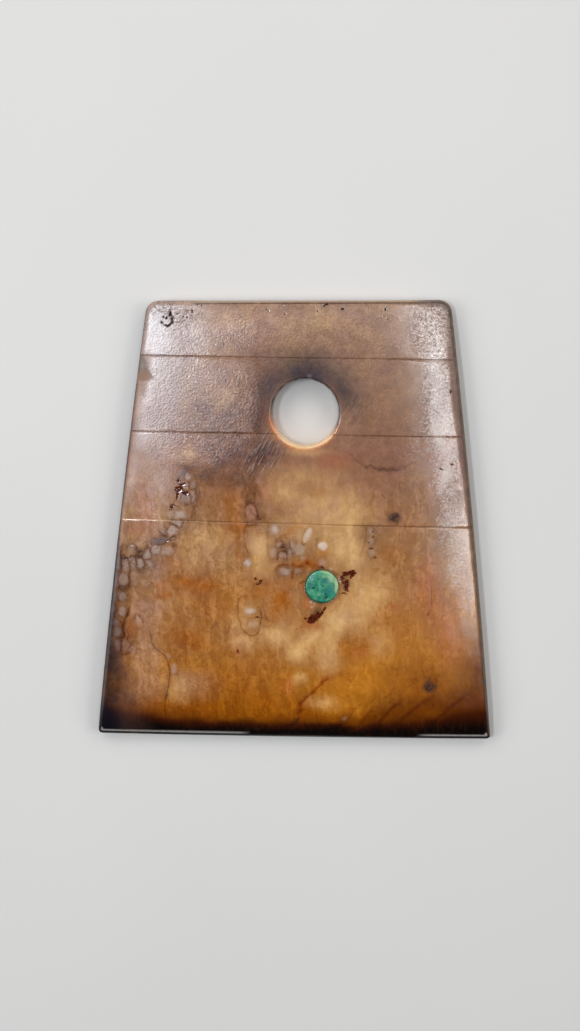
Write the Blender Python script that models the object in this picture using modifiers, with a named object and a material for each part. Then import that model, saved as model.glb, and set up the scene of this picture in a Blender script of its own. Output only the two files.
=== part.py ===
"""Jade axe pendant with a turquoise inlay, lying on its back.

A thin tapering blade of brown jade: a slightly crowned front, a flat back, soft arrises, a cutting edge ground
from both sides, a drilled suspension hole, scribed lines across the front, and a turquoise disc let into a
blind seat. X runs along the cutting edge, Y from the cutting edge to the butt, and Z up through the thickness.
The origin is on the back, at the middle of the overall box.
"""

import math

import bmesh
import bpy
from mathutils import Vector

# The outline, seen from the front.
LENGTH = 0.1256
EDGE_WIDTH = 0.1132
BUTT_WIDTH = 0.0849
BUTT_SHIFT = 0.0006
BUTT_RISE = 0.0008
SIDE_BOW = 0.0006
EDGE_BOW = 0.0003
BUTT_CORNER_RADIUS = 0.0036
EDGE_CORNER_RADIUS = 0.0010

# The thickness: the crown of the front, the soft arrises and the ground bevels of the cutting edge.
THICKNESS = 0.0066
SIDE_DROP = 0.0015
BUTT_DROP = 0.0012
BUTT_TAPER = 0.0300
ARRIS_RADIUS = 0.0010
FRONT_BEVEL_LENGTH = 0.0100
BACK_BEVEL_LENGTH = 0.0090
FRONT_BEVEL_DROP = 0.0036
BACK_BEVEL_RISE = 0.0020

# The suspension hole, drilled from both faces until the two cones met.
HOLE_DIAMETER = 0.0183
HOLE_FROM_BUTT = 0.0316
HOLE_FROM_AXIS = 0.0028
HOLE_FLARE = 0.0003
HOLE_RIM_RADIUS = 0.0006

# The scribed lines: where each meets the left side and the right side, measured down from the butt's high end.
LINES_FROM_BUTT = ((0.0159, 0.0166), (0.0373, 0.0382), (0.0623, 0.0639))
LINE_CUT_RADIUS = 0.00022
LINE_DEPTH = 0.0002

# The turquoise disc and its seat.
INLAY_DIAMETER = 0.0092
INLAY_THICKNESS = 0.0024
INLAY_DOME = 0.0003
INLAY_PROUD = 0.0001
INLAY_RIM_RADIUS = 0.0003
INLAY_FROM_EDGE = 0.0447
INLAY_FROM_AXIS = 0.0079
INLAY_GAP = 0.0003

# Natural pits and one old flake scar in the front: place from the axis, place from the cutting edge, length,
# width, turn in degrees, depth.
PITS = (
    (0.0158, 0.0481, 0.0039, 0.0019, 12.0, 0.0006),
    (0.0152, 0.0445, 0.0040, 0.0015, 100.0, 0.0005),
    (0.0061, 0.0359, 0.0046, 0.0021, 40.0, 0.0006),
    (-0.0316, 0.0727, 0.0030, 0.0024, 30.0, 0.0007),
    (-0.0428, 0.1056, 0.0064, 0.0036, 84.0, 0.0008),
)

# How finely curved faces are cut into flat ones.
SIDE_STEPS = 10
BUTT_CORNER_STEPS = 7
EDGE_CORNER_STEPS = 3
ARRIS_STEPS = 4
FACE_STEP = 0.0080
BEVEL_STEPS = 6
HOLE_STEPS = 72
RIM_STEPS = 4
LINE_STEP = 0.0080
INLAY_STEPS = 48
CLEARANCE_OF_CUTTERS = 0.0020
MERGE_DISTANCE = 0.000001
ARRIS_ANGLE = math.radians(40.0)

BUTT_Y = LENGTH / 2
EDGE_Y = -LENGTH / 2

JADE_COLOUR = (0.46, 0.26, 0.11, 1.0)
TURQUOISE_COLOUR = (0.06, 0.36, 0.25, 1.0)


# Scene helpers.


def clear_scene():
    for obj in list(bpy.data.objects):
        bpy.data.objects.remove(obj)


def new_collection(name):
    collection = bpy.data.collections.new(name)
    bpy.context.scene.collection.children.link(collection)
    return collection


def new_material(name, colour, roughness):
    material = bpy.data.materials.new(name)
    material.use_nodes = True
    shader = material.node_tree.nodes["Principled BSDF"]
    shader.inputs["Base Color"].default_value = colour
    shader.inputs["Roughness"].default_value = roughness
    shader.inputs["Metallic"].default_value = 0.0
    material.diffuse_color = colour
    return material


def add_object(name, data, collection, material=None):
    obj = bpy.data.objects.new(name, data)
    collection.objects.link(obj)
    if material:
        data.materials.append(material)
    return obj


def as_cutter(obj):
    obj.hide_render = True
    obj.display_type = "WIRE"
    return obj


def mesh_of_curve(curve, name, collection):
    """A mesh object in place of a curve, with its loose caps welded on."""
    bpy.context.view_layer.update()
    evaluated = curve.evaluated_get(bpy.context.evaluated_depsgraph_get())
    mesh = bpy.data.meshes.new_from_object(evaluated)
    mesh.name = name
    made = add_object(name, mesh, collection)
    made.matrix_world = curve.matrix_world
    bpy.data.objects.remove(curve)
    shape = bmesh.new()
    shape.from_mesh(mesh)
    bmesh.ops.remove_doubles(shape, verts=shape.verts, dist=MERGE_DISTANCE)
    bmesh.ops.recalc_face_normals(shape, faces=shape.faces)
    shape.to_mesh(mesh)
    shape.free()
    return made


def cut(body, cutter):
    boolean = body.modifiers.new("cut_" + cutter.name, "BOOLEAN")
    boolean.operation = "DIFFERENCE"
    boolean.solver = "EXACT"
    boolean.object = cutter


# The blade's outline and its two faces, as functions of place.


def share_of_length(y):
    """0 at the cutting edge and 1 at the butt."""
    return min(1.0, max(0.0, (y - EDGE_Y) / LENGTH))


def axis_x(y):
    return BUTT_SHIFT * share_of_length(y)


def half_width(y):
    share = share_of_length(y)
    return (EDGE_WIDTH * (1 - share) + BUTT_WIDTH * share) / 2 + 4 * SIDE_BOW * share * (1 - share)


def rise_within(distance, length):
    """0 outside a ground zone, growing as a square to 1 at its far end."""
    return min(1.0, max(0.0, 1 - distance / length)) ** 2


def front_z(x, y):
    across = min(1.0, abs(x - axis_x(y)) / half_width(y))
    side = SIDE_DROP * across**2
    butt = BUTT_DROP * rise_within(BUTT_Y - y, BUTT_TAPER)
    bevel = rise_within(y - EDGE_Y, FRONT_BEVEL_LENGTH)
    return THICKNESS - (side + butt) * (1 - bevel) - FRONT_BEVEL_DROP * bevel


def back_z(y):
    return BACK_BEVEL_RISE * rise_within(y - EDGE_Y, BACK_BEVEL_LENGTH)


def bowed_side(start, end, bow):
    """Points from start up to, but not including, end, bowed to the left of the way they run."""
    along = end - start
    outward = Vector((-along.y, along.x)).normalized()
    shares = [step / SIDE_STEPS for step in range(SIDE_STEPS)]
    return [start + along * t + outward * (4 * bow * t * (1 - t)) for t in shares]


def rounded_corner(before, corner, after, radius, steps):
    """An arc of that radius between the two straights that meet at the corner."""
    to_before = (before - corner).normalized()
    to_after = (after - corner).normalized()
    half_angle = to_before.angle(to_after) / 2
    centre = corner + (to_before + to_after).normalized() * (radius / math.sin(half_angle))
    tangent = radius / math.tan(half_angle)
    start = corner + to_before * tangent - centre
    end = corner + to_after * tangent - centre
    sweep = start.angle_signed(end)
    points = []
    for step in range(steps + 1):
        turn = -sweep * step / steps
        points.append(
            centre
            + Vector(
                (
                    start.x * math.cos(turn) - start.y * math.sin(turn),
                    start.x * math.sin(turn) + start.y * math.cos(turn),
                )
            )
        )
    return points


def outline():
    """The blade's outline, clockwise from the left end of the butt."""
    butt_left = Vector((BUTT_SHIFT - BUTT_WIDTH / 2, BUTT_Y - BUTT_RISE))
    butt_right = Vector((BUTT_SHIFT + BUTT_WIDTH / 2, BUTT_Y))
    edge_right = Vector((EDGE_WIDTH / 2, EDGE_Y + EDGE_BOW))
    edge_left = Vector((-EDGE_WIDTH / 2, EDGE_Y + EDGE_BOW))
    sides = (
        bowed_side(butt_left, butt_right, 0.0),
        bowed_side(butt_right, edge_right, SIDE_BOW),
        bowed_side(edge_right, edge_left, EDGE_BOW),
        bowed_side(edge_left, butt_left, SIDE_BOW),
    )
    rounding = (
        (BUTT_CORNER_RADIUS, BUTT_CORNER_STEPS),
        (BUTT_CORNER_RADIUS, BUTT_CORNER_STEPS),
        (EDGE_CORNER_RADIUS, EDGE_CORNER_STEPS),
        (EDGE_CORNER_RADIUS, EDGE_CORNER_STEPS),
    )
    points = []
    for index, side in enumerate(sides):
        before = sides[index - 1][-1]
        radius, steps = rounding[index]
        points += rounded_corner(before, side[0], side[1], radius, steps)
        points += side[1:]
    return points


# The blade.


def plate(collection, material):
    """The blade as a flat plate of even thickness with rounded arrises."""
    curve = bpy.data.curves.new("outline", "CURVE")
    curve.dimensions = "2D"
    curve.fill_mode = "BOTH"
    curve.extrude = THICKNESS / 2
    points = outline()
    spline = curve.splines.new("POLY")
    spline.points.add(len(points) - 1)
    for point, place in zip(spline.points, points):
        point.co = (place.x, place.y, 0.0, 1.0)
    spline.use_cyclic_u = True
    blade = mesh_of_curve(add_object("outline", curve, collection), "jade_blade", collection)
    blade.data.materials.clear()
    blade.data.materials.append(material)
    shape = bmesh.new()
    shape.from_mesh(blade.data)
    bmesh.ops.translate(shape, verts=shape.verts, vec=(0.0, 0.0, THICKNESS / 2))
    bmesh.ops.dissolve_limit(
        shape, angle_limit=math.radians(0.1), verts=shape.verts, edges=shape.edges, delimit=set()
    )
    arrises = [edge for edge in shape.edges if edge.calc_face_angle(0.0) > ARRIS_ANGLE]
    arrises = [edge for edge in arrises if abs(edge.verts[0].co.z - edge.verts[1].co.z) < MERGE_DISTANCE]
    bmesh.ops.bevel(
        shape,
        geom=arrises,
        offset=ARRIS_RADIUS,
        offset_type="OFFSET",
        segments=ARRIS_STEPS,
        profile=0.5,
        affect="EDGES",
    )
    shape.to_mesh(blade.data)
    shape.free()
    return blade


def stations(low, high, step):
    """Evenly spaced places strictly between low and high, at most a step apart."""
    count = max(1, math.ceil((high - low) / step))
    return [low + (high - low) * index / count for index in range(1, count)]


def crown(blade):
    """Cuts the plate's two faces into a grid, then gives every point the blade's real height there."""
    bevel_top = EDGE_Y + max(FRONT_BEVEL_LENGTH, BACK_BEVEL_LENGTH)
    across = stations(-EDGE_WIDTH / 2, EDGE_WIDTH / 2, FACE_STEP)
    along = stations(bevel_top, BUTT_Y, FACE_STEP) + [bevel_top]
    along += stations(EDGE_Y + ARRIS_RADIUS, bevel_top, (bevel_top - EDGE_Y) / BEVEL_STEPS)
    planes = [((x, 0.0, 0.0), (1.0, 0.0, 0.0)) for x in across]
    planes += [((0.0, y, 0.0), (0.0, 1.0, 0.0)) for y in along]
    shape = bmesh.new()
    shape.from_mesh(blade.data)
    for place, normal in planes:
        geometry = shape.verts[:] + shape.edges[:] + shape.faces[:]
        bmesh.ops.bisect_plane(shape, geom=geometry, plane_co=place, plane_no=normal, dist=MERGE_DISTANCE)
    for vert in shape.verts:
        low = back_z(vert.co.y)
        high = front_z(vert.co.x, vert.co.y)
        vert.co.z = low + (high - low) * vert.co.z / THICKNESS
    shape.to_mesh(blade.data)
    shape.free()


def hole_place():
    return Vector((HOLE_FROM_AXIS, BUTT_Y - HOLE_FROM_BUTT))


def hole_cutter(collection):
    """A turned hourglass: narrowest at half the thickness, with a rounded rim at each face."""
    centre = hole_place()
    top = front_z(centre.x, centre.y)
    waist = HOLE_DIAMETER / 2
    mouth = waist + HOLE_FLARE
    turns = [math.pi / 2 * step / RIM_STEPS for step in range(RIM_STEPS + 1)]
    rim = [(mouth + HOLE_RIM_RADIUS * (1 - math.cos(t)), HOLE_RIM_RADIUS * (1 - math.sin(t))) for t in turns]
    reach = rim[-1][0]
    profile = [(0.0, top + CLEARANCE_OF_CUTTERS), (reach, top + CLEARANCE_OF_CUTTERS)]
    profile += [(radius, top - depth) for radius, depth in reversed(rim)]
    profile += [(waist, top / 2)]
    profile += [(radius, depth) for radius, depth in rim]
    profile += [(reach, -CLEARANCE_OF_CUTTERS), (0.0, -CLEARANCE_OF_CUTTERS)]
    cutter = turned("hole_cutter", profile, HOLE_STEPS, collection)
    cutter.location = (centre.x, centre.y, 0.0)
    return as_cutter(cutter)


def turned(name, profile, steps, collection, material=None):
    """A solid of revolution about Z from (radius, height) pairs that run down its outer side."""
    mesh = bpy.data.meshes.new(name)
    edges = [(index, index + 1) for index in range(len(profile) - 1)]
    mesh.from_pydata([(radius, 0.0, height) for radius, height in profile], edges, [])
    obj = add_object(name, mesh, collection, material)
    screw = obj.modifiers.new("turn", "SCREW")
    screw.axis = "Z"
    screw.angle = 2 * math.pi
    screw.steps = steps
    screw.render_steps = steps
    screw.use_merge_vertices = True
    screw.merge_threshold = MERGE_DISTANCE
    screw.use_smooth_shade = True
    return obj


def line_cutter(index, left_from_butt, right_from_butt, collection):
    """A thin tube that follows the crown of the front, just deep enough to leave a scribed line."""
    left_y = BUTT_Y - left_from_butt
    right_y = BUTT_Y - right_from_butt
    left_x = axis_x(left_y) - half_width(left_y)
    right_x = axis_x(right_y) + half_width(right_y)
    lift = LINE_CUT_RADIUS - LINE_DEPTH
    reach = CLEARANCE_OF_CUTTERS
    places = [left_x - reach, left_x, *stations(left_x, right_x, LINE_STEP), right_x, right_x + reach]
    curve = bpy.data.curves.new(f"line_cutter_{index}", "CURVE")
    curve.dimensions = "3D"
    curve.bevel_depth = LINE_CUT_RADIUS
    curve.bevel_resolution = 2
    curve.use_fill_caps = True
    spline = curve.splines.new("POLY")
    spline.points.add(len(places) - 1)
    for point, x in zip(spline.points, places):
        y = left_y + (right_y - left_y) * (x - left_x) / (right_x - left_x)
        point.co = (x, y, front_z(x, y) + lift, 1.0)
    name = f"line_cutter_{index}"
    return as_cutter(mesh_of_curve(add_object(name + "_path", curve, collection), name, collection))


def inlay_place():
    return Vector((INLAY_FROM_AXIS, EDGE_Y + INLAY_FROM_EDGE))


def inlay_base():
    """The height of the disc's underside."""
    centre = inlay_place()
    return front_z(centre.x, centre.y) + INLAY_PROUD - INLAY_THICKNESS


def seat_cutter(collection):
    """The blind round seat that the disc drops into, wider and deeper than the disc by the gap."""
    centre = inlay_place()
    floor = inlay_base() - INLAY_GAP
    height = THICKNESS + CLEARANCE_OF_CUTTERS - floor
    mesh = bpy.data.meshes.new("seat_cutter")
    shape = bmesh.new()
    radius = INLAY_DIAMETER / 2 + INLAY_GAP
    bmesh.ops.create_cone(
        shape, cap_ends=True, segments=INLAY_STEPS, radius1=radius, radius2=radius, depth=height
    )
    shape.to_mesh(mesh)
    shape.free()
    cutter = add_object("seat_cutter", mesh, collection)
    cutter.location = (centre.x, centre.y, floor + height / 2)
    return as_cutter(cutter)


def pit_cutter(index, pit, collection):
    """A flattened ball sunk into the front."""
    from_axis, from_edge, length, width, turn, depth = pit
    mesh = bpy.data.meshes.new(f"pit_cutter_{index}")
    shape = bmesh.new()
    bmesh.ops.create_icosphere(shape, subdivisions=2, radius=1.0)
    bmesh.ops.scale(shape, verts=shape.verts, vec=(length / 2, width / 2, depth))
    shape.to_mesh(mesh)
    shape.free()
    cutter = add_object(f"pit_cutter_{index}", mesh, collection)
    y = EDGE_Y + from_edge
    cutter.location = (from_axis, y, front_z(from_axis, y))
    cutter.rotation_euler = (0.0, 0.0, math.radians(turn))
    return as_cutter(cutter)


def make_blade(parts, cutters, material):
    blade = plate(parts, material)
    crown(blade)
    cut(blade, hole_cutter(cutters))
    cut(blade, seat_cutter(cutters))
    for index, (left, right) in enumerate(LINES_FROM_BUTT, 1):
        cut(blade, line_cutter(index, left, right, cutters))
    for index, pit in enumerate(PITS, 1):
        cut(blade, pit_cutter(index, pit, cutters))
    return blade


# The turquoise disc.


def make_inlay(parts, material):
    radius = INLAY_DIAMETER / 2
    flank = radius - INLAY_RIM_RADIUS
    shoulder = INLAY_THICKNESS - INLAY_RIM_RADIUS
    profile = [(0.0, INLAY_THICKNESS + INLAY_DOME)]
    for share in (0.4, 0.75):
        profile.append((flank * share, INLAY_THICKNESS + INLAY_DOME * (1 - share**2)))
    for step in range(RIM_STEPS + 1):
        turn = math.pi / 2 * step / RIM_STEPS
        profile.append(
            (flank + INLAY_RIM_RADIUS * math.sin(turn), shoulder + INLAY_RIM_RADIUS * math.cos(turn))
        )
    profile += [(radius, 0.0), (0.0, 0.0)]
    inlay = turned("turquoise_inlay", profile, INLAY_STEPS, parts, material)
    centre = inlay_place()
    inlay.location = (centre.x, centre.y, inlay_base())
    return inlay


def main():
    clear_scene()
    parts = new_collection("jade_axe_pendant")
    cutters = new_collection("cutters")
    jade = new_material("jade", JADE_COLOUR, 0.35)
    turquoise = new_material("turquoise", TURQUOISE_COLOUR, 0.4)
    blade = make_blade(parts, cutters, jade)
    blade.data.shade_smooth()
    blade.data.set_sharp_from_angle(angle=ARRIS_ANGLE)
    make_inlay(parts, turquoise)


main()
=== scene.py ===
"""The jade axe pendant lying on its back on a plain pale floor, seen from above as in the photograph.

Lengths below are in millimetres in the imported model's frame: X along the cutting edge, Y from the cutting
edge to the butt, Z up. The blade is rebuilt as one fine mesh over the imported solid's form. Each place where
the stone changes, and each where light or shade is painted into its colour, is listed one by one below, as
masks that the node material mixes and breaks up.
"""

import math

import bmesh
import bpy
import numpy as np
from mathutils import Matrix, Vector
from mathutils.geometry import delaunay_2d_cdt


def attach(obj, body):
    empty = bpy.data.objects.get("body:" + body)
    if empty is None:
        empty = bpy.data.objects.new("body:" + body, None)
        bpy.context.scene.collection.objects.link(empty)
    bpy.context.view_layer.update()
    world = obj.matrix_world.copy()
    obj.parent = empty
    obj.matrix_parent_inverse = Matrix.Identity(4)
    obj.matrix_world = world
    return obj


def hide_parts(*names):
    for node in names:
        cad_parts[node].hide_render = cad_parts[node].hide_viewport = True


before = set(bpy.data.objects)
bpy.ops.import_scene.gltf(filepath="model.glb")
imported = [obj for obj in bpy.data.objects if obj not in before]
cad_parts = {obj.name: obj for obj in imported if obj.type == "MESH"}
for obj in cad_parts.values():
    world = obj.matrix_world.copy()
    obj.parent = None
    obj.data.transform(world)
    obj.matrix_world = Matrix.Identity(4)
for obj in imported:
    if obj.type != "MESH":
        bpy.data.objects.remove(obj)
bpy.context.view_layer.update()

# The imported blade's form.
LENGTH = 125.6
EDGE_WIDTH = 113.2
BUTT_WIDTH = 84.9
BUTT_SHIFT = 0.6
BUTT_RISE = 0.8
SIDE_BOW = 0.6
EDGE_BOW = 0.3
BUTT_CORNER_RADIUS = 3.6
EDGE_CORNER_RADIUS = 1.0
THICKNESS = 6.6
SIDE_DROP = 1.5
BUTT_DROP = 1.2
BUTT_TAPER = 30.0
ARRIS_RADIUS = 1.0
FRONT_BEVEL_LENGTH = 10.0
BACK_BEVEL_LENGTH = 9.0
FRONT_BEVEL_DROP = 3.6
BACK_BEVEL_RISE = 2.0
BUTT_Y = LENGTH / 2
EDGE_Y = -LENGTH / 2

HOLE = (2.8, BUTT_Y - 31.6)
HOLE_WAIST = 9.15
HOLE_MOUTH = 9.45
HOLE_RIM = 0.6

LINES = ((15.9, 16.6), (37.3, 38.2), (62.3, 63.9))
LINE_HALF_WIDTH = 0.22
LINE_DEPTH = 0.2

SEAT = (7.9, EDGE_Y + 44.7)
SEAT_RADIUS = 4.78
SEAT_FLOOR = 3.97
SEAT_RIM = 0.15
DISC_RADIUS = 4.71
DISC_BASE = 4.27
DISC_THICKNESS = 2.4
DISC_DOME = 0.3

# How finely the blade is meshed: the front's finest step, doubled where the features are larger and doubled
# again in plain stone; the back; and along the outline.
FINEST = 0.165
BACK_STEP = 1.6
OUTLINE_STEP = 0.5
HOLE_STEPS = 160
SEAT_STEPS = 100
DISC_STEPS = 144
SIDE_POINTS = 41
CORNER_POINTS = 25
OVAL_CORNERS = 14
EDGE_CLEARANCE = 1.2
INNERMOST = 0.97
# Twice the area below which a triangle is a sliver, the share of a hole's radius within which a triangle's
# middle lies in the hole, and the distance in metres within which seams merge.
SLIVER = 0.0002
CHORD = 0.9996
MERGE_DISTANCE = 0.000004

NOISE_TABLE = 128


# Number helpers.


def smooth(low, high, value):
    """0 below low, 1 above high, and an S curve between them."""
    t = np.clip((value - low) / (high - low), 0.0, 1.0)
    return t * t * (3 - 2 * t)


def noise(x, y, size, seed):
    """Smooth noise from -1 to 1 whose bumps are about size across."""
    table = np.random.default_rng(seed).uniform(-1, 1, (NOISE_TABLE, NOISE_TABLE))
    u = x / size + 1000.0
    v = y / size + 1000.0
    i = np.floor(u).astype(int)
    j = np.floor(v).astype(int)
    s = u - i
    t = v - j
    s = s * s * (3 - 2 * s)
    t = t * t * (3 - 2 * t)
    i, next_i = i % NOISE_TABLE, (i + 1) % NOISE_TABLE
    j, next_j = j % NOISE_TABLE, (j + 1) % NOISE_TABLE
    low = table[i, j] * (1 - s) + table[next_i, j] * s
    high = table[i, next_j] * (1 - s) + table[next_i, next_j] * s
    return low * (1 - t) + high * t


def layered(x, y, size, seed):
    """Three sizes of noise together."""
    total = noise(x, y, size, seed) + 0.5 * noise(x, y, size / 2, seed + 1)
    return (total + 0.25 * noise(x, y, size / 4, seed + 2)) / 1.75


def oval_distance(x, y, oval):
    """0 at the middle of the oval (x, y, half length, half width, turn in degrees) and 1 on its rim."""
    middle_x, middle_y, along, across, turn = oval[:5]
    c = math.cos(math.radians(turn))
    s = math.sin(math.radians(turn))
    dx = x - middle_x
    dy = y - middle_y
    return np.hypot((dx * c + dy * s) / along, (dy * c - dx * s) / across)


def path_distance(x, y, path):
    """Distance to a line through these points."""
    nearest = np.full_like(x, 1e9)
    for (x0, y0), (x1, y1) in zip(path, path[1:]):
        dx = x1 - x0
        dy = y1 - y0
        t = np.clip(((x - x0) * dx + (y - y0) * dy) / (dx * dx + dy * dy), 0.0, 1.0)
        nearest = np.minimum(nearest, np.hypot(x - x0 - t * dx, y - y0 - t * dy))
    return nearest


# The blade's form, as functions of place.


def share_of_length(y):
    return np.clip((y - EDGE_Y) / LENGTH, 0.0, 1.0)


def axis_x(y):
    return BUTT_SHIFT * share_of_length(y)


def half_width(y):
    share = share_of_length(y)
    return (EDGE_WIDTH * (1 - share) + BUTT_WIDTH * share) / 2 + 4 * SIDE_BOW * share * (1 - share)


def rise_within(distance, length):
    return np.clip(1 - distance / length, 0.0, 1.0) ** 2


def front_z(x, y):
    across = np.minimum(1.0, np.abs(x - axis_x(y)) / half_width(y))
    butt = BUTT_DROP * rise_within(BUTT_Y - y, BUTT_TAPER)
    bevel = rise_within(y - EDGE_Y, FRONT_BEVEL_LENGTH)
    return THICKNESS - (SIDE_DROP * across**2 + butt) * (1 - bevel) - FRONT_BEVEL_DROP * bevel


def back_z(y):
    return BACK_BEVEL_RISE * rise_within(y - EDGE_Y, BACK_BEVEL_LENGTH)


def solid_z(x, y, plate_z):
    """The height of a point that lies plate_z high in a plate of even thickness."""
    low = back_z(y)
    return low + (front_z(x, y) - low) * plate_z / THICKNESS


def rounding(distance, radius):
    """How far a rounded edge has dropped at this distance in from it."""
    distance = np.where(np.abs(distance) < 0.002, 0.0, distance)
    return radius - np.sqrt(np.maximum(0.0, radius**2 - np.clip(radius - distance, 0.0, radius) ** 2))


def line_y(ends, x):
    """The height on the page of a scribed line at x."""
    left_y = BUTT_Y - ends[0]
    right_y = BUTT_Y - ends[1]
    left_x = axis_x(left_y) - half_width(left_y)
    right_x = axis_x(right_y) + half_width(right_y)
    return left_y + (right_y - left_y) * (x - left_x) / (right_x - left_x)


def outline(step):
    """Even points round the outline, clockwise from the butt's left end, and the way in from each."""
    corners = np.array(
        [
            (BUTT_SHIFT - BUTT_WIDTH / 2, BUTT_Y - BUTT_RISE),
            (BUTT_SHIFT + BUTT_WIDTH / 2, BUTT_Y),
            (EDGE_WIDTH / 2, EDGE_Y + EDGE_BOW),
            (-EDGE_WIDTH / 2, EDGE_Y + EDGE_BOW),
        ]
    )
    radii = (BUTT_CORNER_RADIUS, BUTT_CORNER_RADIUS, EDGE_CORNER_RADIUS, EDGE_CORNER_RADIUS)
    bows = (0.0, SIDE_BOW, EDGE_BOW, SIDE_BOW)
    sides = []
    for index, bow in enumerate(bows):
        start = corners[index]
        along = corners[(index + 1) % 4] - start
        outward = np.array((-along[1], along[0])) / np.hypot(*along)
        t = np.linspace(0.0, 1.0, SIDE_POINTS)[:, None]
        sides.append(start + along * t + outward * 4 * bow * t * (1 - t))
    points = []
    for index, side in enumerate(sides):
        before = sides[index - 1]
        to_before = before[-2] - side[0]
        to_before /= np.hypot(*to_before)
        to_after = side[1] - side[0]
        to_after /= np.hypot(*to_after)
        half_angle = math.acos(float(np.dot(to_before, to_after))) / 2
        middle = (to_before + to_after) / np.hypot(*(to_before + to_after))
        centre = side[0] + middle * radii[index] / math.sin(half_angle)
        reach = radii[index] / math.tan(half_angle)
        start = math.atan2(*(side[0] + to_before * reach - centre)[::-1])
        sweep = -(math.pi - 2 * half_angle)
        for t in np.linspace(0.0, 1.0, CORNER_POINTS):
            turn = start + sweep * t
            points.append(centre + radii[index] * np.array((math.cos(turn), math.sin(turn))))
        clear = np.hypot(*(side - side[0]).T) > reach + 0.2
        clear &= np.hypot(*(side - side[-1]).T) > radii[(index + 1) % 4] * 1.2 + 0.2
        points.extend(side[clear])
    points = np.array(points)
    loop = np.vstack([points, points[:1]])
    far = np.concatenate([[0.0], np.cumsum(np.hypot(*np.diff(loop, axis=0).T))])
    count = int(far[-1] / step)
    places = np.linspace(0.0, far[-1], count, endpoint=False)
    even = np.stack([np.interp(places, far, loop[:, k]) for k in (0, 1)], -1)
    tangent = np.roll(even, -1, axis=0) - np.roll(even, 1, axis=0)
    tangent /= np.hypot(*tangent.T)[:, None]
    inward = np.stack([tangent[:, 1], -tangent[:, 0]], -1)
    return even, inward


OUTLINE, INWARD = outline(OUTLINE_STEP)


def edge_distance(x, y):
    """Distance to the outline."""
    nearest = np.full(len(x), 1e9)
    for start in range(0, len(x), 4000):
        part = slice(start, start + 4000)
        dx = x[part, None] - OUTLINE[None, :, 0]
        dy = y[part, None] - OUTLINE[None, :, 1]
        nearest[part] = np.sqrt((dx * dx + dy * dy).min(1))
    near = np.nonzero(nearest < 2.5)[0]
    loop = [tuple(point) for point in OUTLINE] + [tuple(OUTLINE[0])]
    nearest[near] = path_distance(x[near], y[near], loop)
    return nearest


# The stone's markings, with the sheen and glints that are painted among them.


def oval(x, y, along, across, turn=0.0):
    """The corners of an oval, so that it can stand in the lists beside shapes with corners."""
    c = math.cos(math.radians(turn))
    s = math.sin(math.radians(turn))
    corners = []
    for step in range(OVAL_CORNERS):
        angle = 2 * math.pi * step / OVAL_CORNERS
        u = along * math.cos(angle)
        v = across * math.sin(angle)
        corners.append((x + u * c - v * s, y + u * s + v * c))
    return tuple(corners)


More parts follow.
